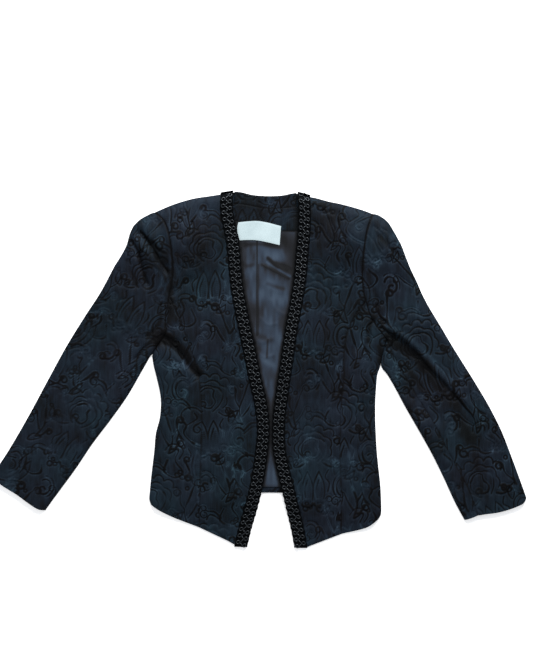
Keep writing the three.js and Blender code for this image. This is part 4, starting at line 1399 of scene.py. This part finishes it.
def make_braid(side):
    guide = EdgeFrame(side)
    ribbon = braid_ribbon_of(guide)
    path = loop_path(guide.length + BRAID_STANDS)
    world = guide.place(path[:, 0], path[:, 1], RIBBON_TOP + CORD_RADIUS * 0.8 + path[:, 2])
    cord = tube_object(f"braid_loops_{side}", [tube(shifted(world), CORD_RADIUS)], CORD)
    rail = braid_rails_of(guide)
    add_piece(ribbon, f"braid_{side}")
    add_piece(cord)
    add_piece(rail)


# Camera, light and floor

PIXEL = 1.9  # millimetres of the garment to a pixel of the photograph
PHOTO_W, PHOTO_H = 533, 666
PHOTO_X, PHOTO_Y = 260.5, 369  # the pixel over the garment's middle
SENSOR = 36

# These are in metres.
CAMERA_HEIGHT = 2.6
SCALE_HEIGHT = 0.006  # the height at which the photograph's scale holds
FLOOR_HALF = 3.5
FLOOR_Z = -0.0006


def make_camera():
    """Straight over the garment, as the photograph was taken."""
    x = ((PHOTO_W / 2 - PHOTO_X) * PIXEL + TO_MIDDLE[0]) * MM
    y = ((PHOTO_Y - PHOTO_H / 2) * PIXEL + TO_MIDDLE[1]) * MM
    data = bpy.data.cameras.new("camera")
    data.sensor_fit = "VERTICAL"
    data.sensor_height = SENSOR
    data.lens = SENSOR * (CAMERA_HEIGHT - SCALE_HEIGHT) / (PHOTO_H * PIXEL * MM)
    data.clip_end = 20
    camera = in_scene(bpy.data.objects.new("camera", data))
    camera.location = (x, y, CAMERA_HEIGHT)
    bpy.context.scene.camera = camera


def area_light(name, place, size, power):
    """A soft box that looks at the garment's middle."""
    data = bpy.data.lights.new(name, "AREA")
    data.shape = "RECTANGLE"
    data.size, data.size_y = size
    data.energy = power
    light = in_scene(bpy.data.objects.new(name, data))
    light.location = place
    light.rotation_euler = (-Vector(place)).to_track_quat("-Z", "Y").to_euler()


def floor(tree, shader):
    """White paper, lit evenly."""
    colour = ramp(tree, grain(tree, "Noise", Scale=3.0), (0.0, 0.93, 0.93, 0.93), (1.0, 0.95, 0.95, 0.95))
    tree.links.new(colour, shader.inputs["Base Color"])
    shader.inputs["Roughness"].default_value = 0.9
    shader.inputs["Specular IOR Level"].default_value = 0.0
    shader.inputs["Emission Color"].default_value = (1, 1, 1, 1)
    shader.inputs["Emission Strength"].default_value = 0.38


def make_stage():
    """The floor, the light all round and two soft boxes."""
    ways = ((-1, -1), (1, -1), (1, 1), (-1, 1))
    corners = np.array([[FLOOR_HALF * x, FLOOR_HALF * y, FLOOR_Z] for x, y in ways])
    make_object("floor", corners / MM, np.array([[0, 1, 2, 3]]), material_of(floor))
    world = bpy.data.worlds.new("studio")
    world.use_nodes = True
    background = world.node_tree.nodes["Background"].inputs
    background["Color"].default_value = (0.93, 0.96, 1.0, 1)
    background["Strength"].default_value = 0.5
    bpy.context.scene.world = world
    area_light("key", (0.5, 2.5, 1.45), (1.8, 1.1), 165)
    area_light("fill", (-1.9, -0.6, 2.2), (2.0, 2.0), 14)
    bpy.context.scene.view_settings.view_transform = "Standard"


make_camera()
make_stage()
make_back()
make_lining()
make_neck_band()
make_neck_facing()
make_label()
for which in ("right", "left"):
    make_front(which)
    make_side_front(which)
    make_upper_sleeve(which)
    make_under_sleeve(which)
    make_braid(which)
